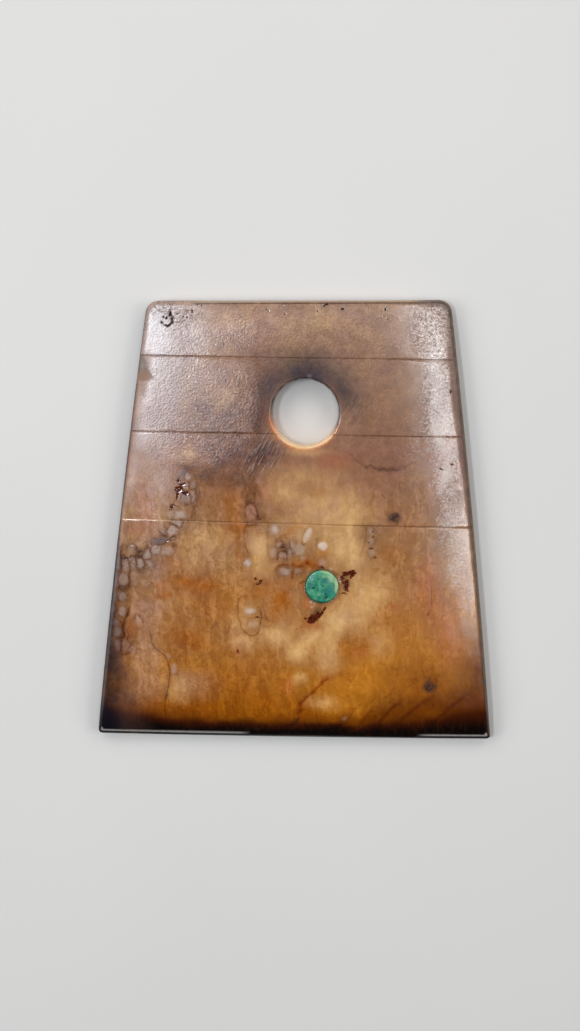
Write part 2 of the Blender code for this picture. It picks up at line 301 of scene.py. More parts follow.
# Broad soft washes of one tone: (x, y, half length, half width, turn in degrees, strength).
WASHES = {
    "brown": (
        (-28, 20, 5, 4, 0, 0.4), (-18, 24, 5, 4, 0, 0.25), (-15, 41, 8, 5, 0, 0.3),
        (-17, 30, 11, 10, 0, 0.4), (-13.5, 36.5, 4, 2.4, 20, 0.7), (-21, 21, 5, 3, 0, 0.3),
        (27, 30, 12, 20, 0, 0.15), (22, 17, 12, 4, 0, 0.15), (33, 10, 6, 12, 0, 0.35),
        (-20, 26, 12, 9, 25, 0.35), (-17, 38.5, 4.5, 2, 10, 0.5), (-12, 47, 8, 5, 0, 0.12),
        (-12.4, 9, 2.6, 6.5, 0, 0.8), (-22, 11.5, 8, 3, -10, 0.6), (-28.5, 7, 1.8, 5, 0, 0.5),
        (-29, 3, 1.6, 2.4, 0, 0.6), (-9.6, 1.6, 1.4, 1.8, 0, 0.6), (-4.5, 19.5, 3.6, 3.2, 0, 0.6),
        (-46, -18.5, 3.4, 4.4, 0, 0.6), (-47.5, -35, 3.4, 6, 0, 0.45), (-41, -22, 5, 6, 0, 0.3),
        (-49, -45, 5, 9, 8, 0.7), (-49, -53, 6, 5, 0, 0.6), (-30, -36, 7, 3.5, -30, 0.45),
        (-45, -3, 5, 4, 0, 0.3), (-42, -16, 6, 3, 0, 0.3), (-13, -37.5, 5, 4, -30, 0.25),
        (-40, -57, 8, 4, 0, 0.4), (33, -9, 7, 8, 0, 0.2),
    ),
    "amber": (
        (-4.3, -22.5, 3.6, 5.6, 0, 0.9), (-9, -19, 5, 3.4, 0, 0.5), (-28, -18, 7.5, 2.6, -6, 0.85),
        (-36.4, -21.6, 2.4, 1.5, 0, 0.9), (-17, -2, 4.6, 5, 0, 0.6), (-17.5, 5, 3.4, 5, 0, 0.45),
        (-15, -0.6, 2.6, 1, 0, 0.6), (-24, -24, 12, 6, -10, 0.35), (-30, -33.5, 8, 4, -20, 0.6),
        (-16, -44, 14, 8, 0, 0.35), (-2, -46.5, 4, 4, 0, 0.65), (4, -11.2, 5, 1.8, 0, 0.85),
        (8, -8.9, 3.4, 1.3, 0, 0.7), (8.4, 8.6, 3.2, 1.5, 10, 0.45), (-1.5, -2.6, 4.6, 1.2, 35, 0.75),
        (2.5, 0.1, 4, 0.7, 0, 0.6), (-10.6, -3.2, 1.7, 1.3, 0, 0.45), (-15.7, -8.5, 1.6, 3.4, 0, 0.4),
        (28, -8, 4.4, 4.4, 0, 0.35), (31, 0, 6, 5, 0, 0.25), (16.5, -35.5, 6.5, 3.4, 0, 0.75),
        (27, -29, 8, 8, 0, 0.35), (36, -38, 14, 10, 0, 0.45), (20, -46, 12, 6, 5, 0.85),
        (9, -45.5, 5, 2.4, 30, 0.6), (33, -46, 12, 6, 0, 0.7), (-4, -53, 10, 5, 0, 0.5),
        (-30, -56, 12, 3, 0, 0.35), (2.6, -17, 1.6, 2.4, 0, 0.5), (-1.6, -17, 2.4, 2, 0, 0.5),
    ),
    "cream": (
        (-14.5, -28.5, 6.5, 4.5, 0, 0.4), (10.5, 4, 11.5, 7.5, 0, 0.6), (10, -40, 5, 4, 0, 0.4),
        (0, -2, 10, 6, 0, 0.35), (12.5, -6.5, 7, 6, 0, 0.45), (-3, 8.5, 6, 4.5, 0, 0.4),
        (5, 13.5, 10, 3, 0, 0.3), (14, 0, 4.5, 5, 0, 0.4), (17, -9, 5.5, 5.5, 0, 0.6),
        (-10.2, -7, 3.4, 4.6, 0, 0.75), (-9, -12.5, 4.5, 3, 0, 0.4), (20.5, -20, 7.5, 7, 0, 0.55),
        (16.5, -26.5, 7.5, 5, 0, 0.6), (11, -28.7, 3.8, 4.2, 0, 0.8), (4.8, -32.6, 4.8, 2.6, 15, 0.7),
        (1, -36.8, 3.8, 4.2, 0, 0.9), (9.5, -35.5, 4.4, 4.4, 0, 0.6), (-5, -32, 5, 3.6, 0, 0.7),
        (-12.6, -24, 2, 2.4, 0, 0.5), (-14, -34.5, 5, 2.6, 0, 0.5), (1.5, -44.5, 2.2, 2, 0, 0.5),
        (8.5, -51.8, 5.4, 2.8, -15, 0.4), (-25, -4.5, 9, 3, 0, 0.35), (-27, -10, 9, 4, 0, 0.25),
        (-34, -23.5, 3, 2, 0, 0.3), (-33, -48, 5, 5, 0, 0.35), (25, -34, 4, 5, 0, 0.35),
        (-20, 34.5, 3, 4, -20, 0.3), (-30, 20.5, 2.4, 2.6, 0, 0.35), (3.6, 20.4, 6, 1.6, 0, 0.5),
        (-21, 58, 3, 2, 0, 0.2), (10, 57, 7, 3, 0, 0.2),
    ),
    "gold": (
        (11, -53.5, 6.4, 3, -10, 0.5), (18, -46, 13, 8, 8, 0.7), (14, -51, 6, 3, 0, 0.5),
        (30, -30, 20, 20, 0, 0.22), (28, -40, 12, 7, 0, 0.35), (-16, -22, 10, 8, 0, 0.3),
        (-10, -12, 6, 5, 0, 0.2), (20, -53, 6, 3, 0, 0.4), (2, -46, 8, 6, 0, 0.2),
    ),
    "milk": (
        (-37, 3, 9, 6.5, 0, 0.45), (-24, 58.5, 20, 4.5, 0, 0.4), (-32, 54, 6, 6, 0, 0.5),
        (-38, 0, 6, 4, 0, 0.4), (-42, 6, 7, 11, 0, 0.85), (-43, -6, 6, 6, 0, 0.5),
        (-42, -14, 8, 5, 15, 0.5), (-42, -25, 6, 8, 0, 0.45), (-42, -37, 5, 8, 0, 0.45),
        (-42.5, -47.5, 6, 6, 0, 0.35), (-30, 4, 4, 9, 0, 0.3), (34, 12, 6, 16, -10, 0.2),
        (-29, -47, 8, 5, 0, 0.25), (0, 57, 14, 5, 0, 0.25), (-13, 57, 11, 6, 0, 0.65),
    ),
    "rose": (
        (-7.3, 8.6, 1.8, 3.2, 0, 0.35), (38, -18, 4, 12, 0, 0.5), (44, -30, 4.6, 12, 10, 0.45),
        (27.7, -24.5, 1.6, 1.3, 0, 0.6), (-42, 4, 4, 9, 0, 0.35), (-44.5, -2.5, 3, 2, 0, 0.35),
        (-34, -12.5, 4, 3, 0, 0.25), (3.4, -23.2, 1.8, 2, 0, 0.6), (2.2, -18.2, 1.2, 0.9, 0, 0.5),
        (5.4, -29.5, 3.4, 1.5, 0, 0.5), (-47, -31.5, 2.8, 3.4, 0, 0.35), (11, 18, 6, 3.4, 0, 0.35),
        (19, -36.5, 2.6, 1.8, 0, 0.35), (-1.7, -46.5, 1.6, 2.6, 0, 0.5), (-16, -37, 2, 1.6, 0, 0.4),
        (-37.4, -18.4, 1.6, 1.4, 0, 0.4), (52, -42, 2.4, 6, 8, 0.2),
    ),
    "violet": (
        (-9, 18.4, 6, 3.4, 25, 0.95), (-11, 16.5, 7, 4.8, 30, 0.6), (-20, 20, 8, 7, 0, 0.3),
        (-18, 28, 8, 6, 0, 0.25), (-10, 47, 7, 5, 0, 0.1), (-13.5, 20, 4, 3.4, 20, 0.55),
        (-16.5, 12.5, 3.4, 3, -40, 0.5), (-19, 18.5, 6, 2.5, 15, 0.5), (-25, 14.5, 6, 2.4, 8, 0.55),
        (-22, 28.5, 9, 5.5, 20, 0.35), (-26, 33, 4, 3, 0, 0.3), (-9.5, 28, 3.4, 6, -10, 0.5),
        (-31.2, 15.4, 3.6, 1.5, 0, 0.6), (28.2, 1.8, 2.2, 1.8, 0, 0.5), (6.2, -24.8, 2.6, 1.8, 30, 0.45),
        (14.4, -17.4, 1.3, 2, 0, 0.4), (52.6, -50, 2.6, 6, 8, 0.5), (-49.5, -28.5, 2.8, 9, 5, 0.5),
        (-51, -14, 3.6, 12, 5, 0.55), (-48.5, -8, 3, 1.6, 10, 0.5), (-44, -8.6, 2.2, 1.6, 0, 0.55),
        (-2.6, -7, 3.4, 2.4, 0, 0.35), (2.2, -13.9, 3, 1.4, 0, 0.3), (20, 19, 8, 3, 0, 0.1),
    ),
    "slate": (
        (2.8, 43, 11, 5, 0, 0.95), (2.8, 41, 9, 3, 0, 0.6), (12.6, 37, 3.4, 6, 25, 0.8),
        (15.5, 37, 5, 9, 10, 0.4), (-8, 38.5, 5, 6, -25, 0.75), (-9.5, 31, 4.5, 7, -10, 0.4),
        (-9, 22, 3, 3, 0, 0.5), (2, 47.5, 12, 3, 0, 0.35), (-26, 13, 4, 1.6, 0, 0.35),
        (-50.6, -12, 1.6, 5, 0, 0.5), (-52, -30, 2.6, 8, 8, 0.6), (-51.5, -40, 3.4, 6, 6, 0.6),
        (-49, -53, 6, 4.4, 0, 0.3), (-38, 56, 7, 8, 0, 0.3), (39.5, 40, 5, 26, -5, 0.15),
        (45.5, -2, 4.4, 22, -9, 0.15), (-42, -13, 7, 5, 15, 0.25),
    ),
    "deep": (
        (26, -51, 9, 3, 6, 0.35), (53, -40, 3.4, 12, 8, 0.6), (40, -46.5, 5, 4, 0, 0.35),
        (50, -46, 6, 9, 0, 0.55), (34, -53, 14, 4, 12, 0.7), (48, -54, 10, 6, 0, 0.8),
        (22, -57, 8, 2.5, 10, 0.5), (33, -44, 10, 6, 0, 0.3), (-30, -57, 14, 3, -4, 0.4),
    ),
    "leather": (
        (-34, 40, 13, 26, 0, 0.9), (-30, 26, 14, 14, 0, 0.6), (-22, 32, 18, 24, 0, 0.35),
        (-14, 50, 18, 13, 0, 0.2), (30, 17, 8, 5, 0, 0.2), (-20, 26, 12, 13, 0, 0.85),
        (-16, 38, 9, 13, 0, 0.55), (-14, 54, 14, 7, 0, 0.5), (-9, 34, 7, 13, 0, 0.2),
        (-6, 22, 6, 6, 0, 0.25), (14, 54, 26, 12, 0, 0.3), (26, 38, 12, 20, 0, 0.2),
    ),
    "speckle": (
        (-31, 58, 8, 4, 0, 0.7), (-38, 60, 5, 2.2, 0, 0.6), (-33, 52, 4, 5, 0, 0.3),
        (39.5, 57.5, 4.4, 6.5, 0, 1), (35.5, 54, 5, 9, 0, 0.7), (38.5, 36, 5.5, 22, -5, 0.55),
        (43.5, 6, 5.5, 19, -9, 0.55), (14, 59, 22, 3, 0, 0.25),
    ),
    "cobble": (
        (-31, 10, 3.6, 6, 0, 0.9), (-33.5, -1, 3.6, 4, 0, 0.7), (-38, -7, 5, 3.6, 20, 0.8),
        (-45, -11, 6, 4, 10, 1), (-50, -18, 3.4, 7, 0, 1), (-51, -29, 3.6, 8, 6, 0.8),
        (-49, -37, 4.6, 5, 0, 0.7), (-3, -7, 4, 4, 0, 0.6), (-2, -14, 4, 2, 0, 0.5),
    ),
    # Painted sheen: where the lamps' reflection is painted on as a pale veil; the same mask adds roughness
    # and bump.
    "painted_sheen": (
        (-38.5, 53, 6.5, 12, 0, 1), (-38, 40, 7, 9, 0, 0.9), (-38.5, 28, 6.5, 9, 0, 0.75),
        (-31, 54, 7, 9, 0, 0.5), (-30, 42, 7, 8, 0, 0.15), (-38, 12, 6, 9, 0, 0.4), (-22, 57, 8, 6, 0, 0.2),
        (38, 57, 6.5, 9, 0, 0.8), (38.8, 47, 4.6, 9, -4, 1), (39.6, 37, 4.2, 9, -5, 1),
        (40.6, 27, 4.2, 9, -6, 1), (42.2, 14, 4.4, 9, -8, 0.9), (44.2, 1, 4.2, 9, -9, 0.8),
        (46.2, -11, 3.8, 8, -9, 0.6), (48.4, -22, 2.6, 7, -9, 0.4), (49.6, -31, 2.2, 6, -9, 0.2),
        (34, 25, 6, 18, -8, 0.22),
    ),
}

# Paler or greyer cells of stone with a thin dark outline: (pale, grey, rose, outline, corners).
CELLS = (
    (0.75, 0, 0, 0.55, ((-31.3, 13.3), (-30.2, 14.1), (-29.1, 13.1), (-29.5, 11.7), (-30.9, 11.4))),
    (0.15, 0.6, 0, 0.3, ((-33.8, 13.4), (-32.2, 15.2), (-30.6, 14.4), (-31.3, 12.6), (-32.7, 12.1))),
    (0.35, 0.25, 0, 0.5, ((-29.5, 11.3), (-28.3, 11.7), (-27.8, 10.2), (-28.8, 9.2), (-29.9, 10.1))),
    (
        0.6, 0.1, 0, 0.4,
        ((-29.6, 8.9), (-28.5, 9.1), (-27.9, 7.2), (-28.6, 5.4), (-29.6, 5.7), (-29.2, 7.2)),
    ),
    (0.7, 0, 0, 0.5, oval(-30.9, 6.7, 1.4, 1.4)), (0.4, 0, 0, 0.45, oval(-30.9, 6.6, 0.6, 0.7)),
    (0.8, 0, 0, 0.4, ((-34.1, 3.1), (-31, 3.1), (-30.8, 0.8), (-34, 0.9))),
    (0.5, 0, 0, 0, ((-36.2, 2.8), (-34.2, 3), (-34.1, 0.9), (-36, 0.8))),
    (
        0.7, 0.15, 0, 0.6,
        ((-35.4, -0.3), (-33.9, 0.3), (-31.7, 0.3), (-31.6, -0.9), (-32.4, -1.9), (-33.2, -1.3)),
    ),
    (
        0.9, 0, 0, 0.6,
        (
            (-36.2, -2.1), (-35.2, -1.2), (-34.2, -1.1), (-33.1, -2.2), (-33.3, -3.3), (-35.4, -4.6),
            (-36.5, -3.2),
        ),
    ),
    (0.5, 0.2, 0, 0.4, ((-38.3, -2.6), (-37, -2.2), (-36.7, -3.3), (-37.3, -4), (-38.3, -3.8))),
    (
        0.1, 0.85, 0, 0.75,
        (
            (-41.1, -5.6), (-38, -4.2), (-36.3, -4.5), (-36, -5.5), (-37.2, -6.5), (-39.2, -6.7),
            (-40.7, -6.4),
        ),
    ),
    (
        0.8, 0.1, 0, 0.5,
        (
            (-40.8, -7.3), (-39.8, -6.9), (-38.2, -6.9), (-37.9, -8), (-38.5, -9.4), (-40.1, -9.9),
            (-41, -8.9),
        ),
    ),
    (0.6, 0, 0.3, 0.3, oval(-35.7, -8.5, 1.7, 1.5)),
    (0.6, 0, 0, 0.2, ((-37.8, -7.1), (-36.9, -7), (-36.6, -8.6), (-37.4, -9.9), (-38.3, -9.6))),
    (
        0.7, 0.25, 0, 0.65,
        (
            (-41.8, -7.5), (-41.2, -8.8), (-40.8, -10.2), (-41.5, -11), (-42.6, -11.2), (-43.4, -10.4),
            (-42.6, -9.2),
        ),
    ),
    (0.65, 0, 0.2, 0.5, ((-42.5, -11.5), (-41.2, -11.3), (-40.2, -12), (-39.7, -13.2), (-41.2, -13.6))),
    (
        0.7, 0.1, 0, 0.7,
        ((-44.9, -10.9), (-43.8, -10.9), (-43, -11.8), (-42.8, -13), (-43.8, -13.9), (-44.8, -13.3)),
    ),
    (0.45, 0.1, 0.1, 0.7, ((-47.3, -10.9), (-45.3, -10.6), (-45.1, -12.6), (-45.9, -13.9), (-46.8, -13.2))),
    (0.4, 0.2, 0, 0.75, ((-49.3, -11.2), (-47.9, -10.9), (-47, -13), (-47.3, -14.6), (-49.3, -14.4))),
    (0.3, 0.6, 0, 0.5, ((-50.9, -9), (-49.7, -10), (-49.6, -14.4), (-51.6, -14.2))),
    (0.4, 0.25, 0, 0.6, oval(-48.8, -16.9, 1.6, 2.2)),
    (0.3, 0.4, 0, 0.4, ((-51.4, -15), (-50.5, -15.2), (-50.4, -19), (-51.9, -19))),
    (0.25, 0, 0.2, 0.6, oval(-46.4, -8.5, 1.5, 1.6)), (0.5, 0.1, 0, 0.4, oval(-49.3, -26.2, 1.2, 1.8)),
    (0.35, 0.2, 0, 0.3, oval(-52.1, -26, 0.9, 1.7)), (0.3, 0.3, 0, 0.4, oval(-49.2, -21.9, 1.4, 1.6)),
    (0.3, 0.35, 0, 0.35, oval(-51.5, -22, 0.8, 1.6)), (0.3, 0.3, 0.2, 0.35, oval(-51.2, -29.4, 1.1, 1.2)),
    (0.3, 0.2, 0, 0.3, oval(-50.6, -32.2, 1.2, 1.5)), (0.15, 0, 0.3, 0.2, oval(-48.3, -36.2, 1.2, 2)),
    (0.15, 0.3, 0.2, 0.3, oval(-50.6, -36, 1.1, 1.8)), (0.3, 0, 0.2, 0.3, oval(-46.3, -37.4, 1, 1.5)),
    (0.45, 0, 0.4, 0.3, oval(-44.6, -28.5, 0.9, 1.3)), (0.15, 0, 0.5, 0.2, oval(-43.2, -24.4, 1.6, 1.6)),
    (0.45, 0, 0.4, 0.25, oval(-34.3, -42.6, 0.9, 1.8)), (0.2, 0, 0.3, 0.2, oval(-35.9, -39, 0.9, 0.9)),
    (
        0.15, 0, 0.65, 0.7,
        ((-13.9, 4.6), (-12.6, 5.4), (-11.2, 4.6), (-10.6, 2.8), (-11.2, 1), (-12.5, 0.5), (-13.9, 1.9)),
    ),
    (0.85, 0.1, 0, 0.15, oval(-13.3, -11.5, 1.3, 1.3)), (0.7, 0.1, 0, 0.25, oval(-5.6, -1.9, 1.3, 1.5)),
    (0.55, 0, 0.3, 0.4, oval(-6, -8.6, 1, 1.6, -10)), (0.5, 0, 0.3, 0.4, oval(-4.4, -6.2, 0.9, 0.9)),
    (0, 0.4, 0.4, 0.5, oval(-3, -7, 0.9, 1)),
    (0.5, 0, 0.4, 0.7, ((-4.6, -8.6), (-3.4, -8.3), (-2.1, -8.5), (-2, -10.1), (-4.6, -10))),
    (0.5, 0.15, 0.2, 0.45, oval(-0.6, -6.6, 0.8, 1.9, 10)), (0.5, 0.1, 0, 0.25, oval(-1.3, -8.6, 0.7, 1.2)),
    (0.55, 0.1, 0, 0.15, oval(1.4, -7.6, 1.7, 1.9)), (0.4, 0, 0, 0.2, oval(2.3, -9.9, 0.9, 0.8)),
    (
        0.65, 0, 0, 0.4,
        ((-4.4, -13), (-3.2, -12.6), (-1, -12.9), (-0.8, -14.3), (-2.1, -15.2), (-4.2, -14.6)),
    ),
    (0.25, 0, 0.5, 0.5, ((-0.1, -13.1), (1.6, -12.8), (2.4, -13.6), (1.2, -14.6), (0, -14.8))),
    (0.4, 0, 0.5, 0.35, oval(7.9, -11.2, 1.1, 1.1)), (0.8, 0, 0.1, 0.3, oval(-12.4, -25.4, 1.8, 1.1)),
    (0.4, 0, 0, 0.3, oval(-11.6, -29.2, 1.7, 1.3)), (0.35, 0, 0, 0.5, oval(21.6, -2.2, 1.1, 1.2)),
    (0.35, 0, 0, 0.5, oval(21.7, -4.9, 1.1, 1.4)), (0.3, 0, 0, 0.45, oval(21.8, -8.2, 1, 1.5)),
    (0.3, 0, 0.3, 0.4, ((13.8, -56.9), (14.6, -55.7), (15.6, -56.1), (15, -57.3))),
    (0.4, 0, 0, 0.2, oval(-10.3, -60.4, 0.9, 0.5)), (0.5, 0, 0, 0, oval(3.9, 41.6, 0.5, 0.45)),
)

# Nearly white spots: (strength, corners). The three small ones beside the pits right of the disc, near X 13
# and Y -16, are painted glints.
WHITES_AND_GLINTS = (
    (0.4, oval(3.7, -3.45, 2.25, 1.05, 66)), (0.65, oval(8.1, -6.4, 1.4, 1.35)),
    (0.6, oval(7.9, -6, 0.8, 0.6, 20)), (0.35, oval(3.9, -2.9, 1.3, 0.6, 66)),
    (0.5, oval(-12.6, -25.4, 1, 0.6)), (0.4, oval(-13.3, -11.5, 0.7, 0.7)),
    (0.4, oval(-5.5, -1.8, 0.7, 0.8)), (0.85, oval(13, -15.4, 0.5, 0.22, 40)),
    (1, oval(13, -16.7, 0.42, 0.36)), (0.7, oval(12.6, -16, 0.2, 0.2)),
    (0.95, oval(4.7, -22.5, 0.5, 0.3, -10)), (0.9, oval(5.8, -23, 0.3, 0.25)),
    (0.7, oval(5.2, -24, 0.3, 0.2, 50)), (0.7, oval(10.4, -12.9, 0.5, 0.2, -20)),
    (0.6, oval(-31.2, 9.8, 0.5, 0.3, 20)), (0.6, oval(-30.7, 10.6, 0.4, 0.25, -20)),
    (0.6, oval(-32.9, 7.2, 0.9, 0.2, 65)), (0.2, oval(-36.3, 56.6, 1.2, 1.3)),
    (0.4, oval(-34.6, -5, 0.6, 0.2, 15)), (0.4, oval(-34.6, -5.8, 0.6, 0.2, 15)),
)

# Dark lines in the stone: (strength, half width, points).
VEINS = (
    (0.95, 0.26, ((-44.2, -27.4), (-43.6, -28.3), (-43.2, -29.4))),
    (0.55, 0.18, ((-43.2, -29.4), (-42.3, -30.7), (-41.3, -31.8), (-41, -33.3))),
    (0.85, 0.26, ((-41, -33), (-40.8, -34.7), (-40, -36.3), (-38.7, -37.5), (-37, -38.9), (-36.2, -40.5))),
    (
        0.85, 0.26,
        ((-36.2, -40.5), (-35.6, -42.7), (-35.4, -44.7), (-35.8, -46.7), (-36.2, -48.8), (-36.7, -51.5)),
    ),
    (0.6, 0.22, ((-36.7, -51.5), (-36.9, -53), (-36.8, -55), (-36.7, -58.7))),
    (0.9, 0.42, ((-46.9, -25), (-47.4, -26.6), (-48.3, -28.4), (-48.8, -30.3))),
    (0.75, 0.34, ((-48.8, -30.3), (-49, -31.8), (-48.6, -33.2), (-49.6, -34))),
    (0.5, 0.22, ((-48.7, -33.4), (-49.4, -35), (-49.9, -38), (-51, -39.8))),
    (0.6, 0.22, ((-49.9, -38.6), (-48.4, -38.9), (-47, -38.4), (-46.2, -37))),
    (0.5, 0.2, ((-28, 12.6), (-27.7, 10.6), (-27.9, 8.6), (-28.3, 6.2), (-29.2, 5.1), (-30.8, 5.1))),
    (0.45, 0.25, ((-27.3, 10.4), (-27, 7.9), (-27.5, 5.6), (-28.8, 3.4), (-29.2, 1.2))),
    (0.6, 0.2, ((-36.2, 4), (-35.2, 4.6), (-34.3, 5.2), (-33.7, 6.2))),
    (0.55, 0.2, ((-35.5, 3.3), (-34.9, 4.2), (-33.3, 4.4), (-31, 4.5), (-29.9, 4.9))),
    (0.9, 0.22, ((-34.7, -1), (-33.9, -0.9), (-33.3, -1.3), (-32.7, -1.9), (-32.1, -1.6), (-31.6, -0.2))),
    (0.8, 0.22, ((-38.2, -3.2), (-37.2, -4), (-36.3, -4.2), (-36, -5.4), (-37, -6.5), (-38.6, -6.8))),
    (0.85, 0.2, ((-36, -5.6), (-35.2, -4.8), (-33.9, -4.3))), (0.6, 0.16, ((-35.4, -5.6), (-34.1, -5.2))),
    (0.5, 0.16, ((-35, -6.2), (-34, -5.9))),
    (0.7, 0.2, ((-41.6, -7.3), (-41, -8.6), (-40.7, -10.2), (-41.6, -11.2), (-42.6, -11.4))),
    (0.8, 0.22, ((-43.6, -10.2), (-42.9, -11.3), (-42.6, -13))),
    (0.6, 0.2, ((-40.4, -12.9), (-39.5, -13.3), (-39.2, -12.3))),
    (0.8, 0.26, ((-49.9, -7.3), (-49.5, -9), (-49.5, -12), (-49.4, -14))),
    (0.8, 0.26, ((-48, -10.6), (-47.2, -11.8), (-46.8, -13.4), (-47.2, -16.5), (-47, -19))),
    (0.8, 0.3, ((-48, -10.7), (-46.6, -10.4), (-45.2, -10.1), (-43.6, -10.3))),
    (0.75, 0.28, ((-44.8, -9.7), (-43.8, -8.9), (-42.8, -8.6), (-42.4, -7.4))),
    (0.6, 0.22, ((-46.6, -6.9), (-45.2, -7.1), (-44.8, -8.2), (-44.9, -9.9))),
    (0.5, 0.3, ((-50.2, -19.4), (-48.8, -19.9), (-47.4, -19.4), (-47, -17))),
    (0.45, 0.25, ((-46.4, -20), (-46.9, -22.4), (-47, -25))),
    (0.7, 0.24, ((-51, -24), (-50.9, -26), (-51.6, -27.6), (-52.8, -28))),
    (0.5, 0.22, ((-50.6, -27.6), (-49.4, -27.8), (-48.6, -28.6))),
    (0.4, 0.2, ((-53, -29.2), (-51.2, -28.6), (-49.6, -29.2), (-49, -30.2))),
    (0.5, 0.2, ((-45.7, -28.2), (-45.3, -27), (-44.2, -27.2))),
    (0.7, 0.2, ((-13.8, -1.1), (-14.3, -4), (-14, -6.8), (-13.2, -8.5), (-12.4, -9.7))),
    (0.6, 0.3, ((-14, 10.5), (-13.6, 7.6), (-13.5, 5.2))),
    (0.5, 0.3, ((-11.3, 10.2), (-11.3, 7.8), (-11.4, 5.6), (-12.6, 5.3), (-13.4, 5.2))),
    (0.85, 0.3, ((-10.7, 4), (-10.5, 2.6), (-10.4, 1), (-9.8, 1))),
    (0.6, 0.16, ((-12.8, 3.9), (-12.2, 2.8), (-11.3, 2.1), (-10.8, 1.6))),
    (0.6, 0.25, ((-13.6, 0.2), (-13.3, -1), (-11.6, -0.7), (-10.6, 0))),
    (0.5, 0.16, ((-8.6, -0.2), (-7.6, 0.4), (-6.6, 1.2))),
    (0.5, 0.25, ((-7.4, -0.4), (-7.5, -2), (-7.6, -4), (-7.4, -9.2))),
    (0.45, 0.2, ((-5.2, -5.2), (-4.2, -4.2), (-3, -3.4), (-1.8, -3))),
    (0.5, 0.2, ((-4.9, -5.4), (-3.8, -5.1), (-3, -5.4))),
    (0.85, 0.22, ((-4.2, -6.9), (-3.6, -6.8), (-2.7, -6.9))), (0.7, 0.18, ((-3.1, -5.6), (-3, -6.8))),
    (0.75, 0.2, ((-1.3, -5.2), (-1.4, -6.4), (-0.9, -7.4))),
    (0.7, 0.18, ((-4.8, -10.3), (-4.7, -9), (-3.9, -8.2), (-2.4, -8.1), (-2, -8.8), (-1.9, -10.2))),
    (0.45, 0.18, ((-5, -7), (-5, -8.6), (-4.8, -10.3), (-6, -10.5))),
    (0.85, 0.3, ((2.2, -5.4), (2.4, -6), (2.9, -5.9))),
    (0.45, 0.16, ((2.3, -4.6), (2.6, -3), (3.2, -1.6), (4.2, -1), (5.3, -1.3), (5.4, -2.4))),
    (0.5, 0.3, ((6.7, -4.2), (6.2, -5.6), (6.2, -7.4))),
    (0.55, 0.22, ((-15.8, -22.2), (-14.9, -21.2), (-13.6, -20.8))),
    (
        0.7, 0.22,
        ((-15.8, -22.2), (-16.1, -24.5), (-15.9, -27), (-15.2, -29.6), (-14, -31.6), (-12.2, -32.7)),
    ),
    (0.7, 0.22, ((-12.2, -32.7), (-10.8, -32.2), (-9.9, -31), (-9.5, -29))),
    (0.9, 0.3, ((-9.5, -29), (-9.4, -27.2), (-9.5, -25.7))), (0.75, 0.3, ((-11.2, -27.3), (-9.9, -27.2))),
    (0.35, 0.2, ((-13.2, -27.4), (-11.2, -27.3))),
    (0.5, 0.3, ((-8.4, -26.4), (-7.9, -27.8), (-6.8, -28.2))),
    (0.45, 0.25, ((-11.4, -17.6), (-11.8, -20), (-11.6, -22))),
    (0.35, 0.28, ((9.4, -45), (6.7, -47.7), (4.7, -49.7), (3, -51), (1.8, -51.8))),
    (0.5, 0.35, ((1.8, -51.8), (2.3, -53), (2.1, -54.8))),
    (0.75, 0.4, ((1.6, -56.4), (0.4, -58), (-1.4, -59.2))),
    (0.4, 0.3, ((15.9, 19.6), (17, 18), (18.6, 17.3), (20, 16))),
    (
        0.6, 0.35,
        (
            (20, 16), (21.4, 16.6), (22.6, 15.9), (23.8, 15.2), (25, 15.8), (26, 14.9), (27.2, 15.6),
            (28.8, 15.1),
        ),
    ),
    (0.5, 0.28, ((28.8, 15.1), (29.6, 16.3), (31, 15.9), (32, 17.1), (33.8, 17.8))),
    (0.6, 0.2, ((24.7, 8.1), (25.6, 7.3))), (0.45, 0.2, ((20, -1), (20.2, -3), (20.1, -5))),
    (0.4, 0.25, ((20.1, -5), (19.4, -7), (18.6, -9))),
    (0.6, 0.2, ((38.7, -17.5), (38.8, -20), (39.1, -22.8))), (0.85, 0.24, ((38.4, -24.6), (37.8, -26.4))),
    (0.5, 0.3, ((30.2, -52), (28, -53.2), (26.3, -55.6), (24.6, -57.3))),
    (0.4, 0.35, ((38, -50.4), (35, -53), (31.5, -56), (29, -58.5))),
    (0.35, 0.35, ((48, -50), (44, -54), (40, -57.5))),
    (0.35, 0.35, ((22.5, -53.5), (20.5, -56), (19, -58.5))),
    (0.6, 0.3, ((-22.4, -28.8), (-22.8, -29.8), (-23.4, -30.6))),
    (0.4, 0.3, ((-26.6, -19.4), (-26.6, -22), (-26.2, -24.6))),
    (0.35, 0.3, ((-40.2, -17.4), (-39.8, -19.4))), (0.5, 0.25, ((14, -55.6), (15.2, -55.4), (16, -56.2))),
    (0.6, 0.3, ((13.6, -57.4), (14, -58.3), (13.2, -58.8))),
    (0.5, 0.2, ((-17.9, -28), (-18.4, -30.5), (-19.2, -32))),
    (0.3, 0.3, ((24.5, -40), (29.5, -42), (32, -41))), (0.25, 0.3, ((30.2, -38.5), (29.6, -45), (28, -49))),
    (0.35, 0.2, ((-16.4, 16), (-15, 14.2), (-13.9, 12), (-13.8, 10.4))),
    (0.6, 0.24, ((10.9, -13.6), (12, -14.5), (13.4, -15))),
    (0.3, 0.2, ((11.2, -19.6), (13, -20.6), (13.2, -23))),
)

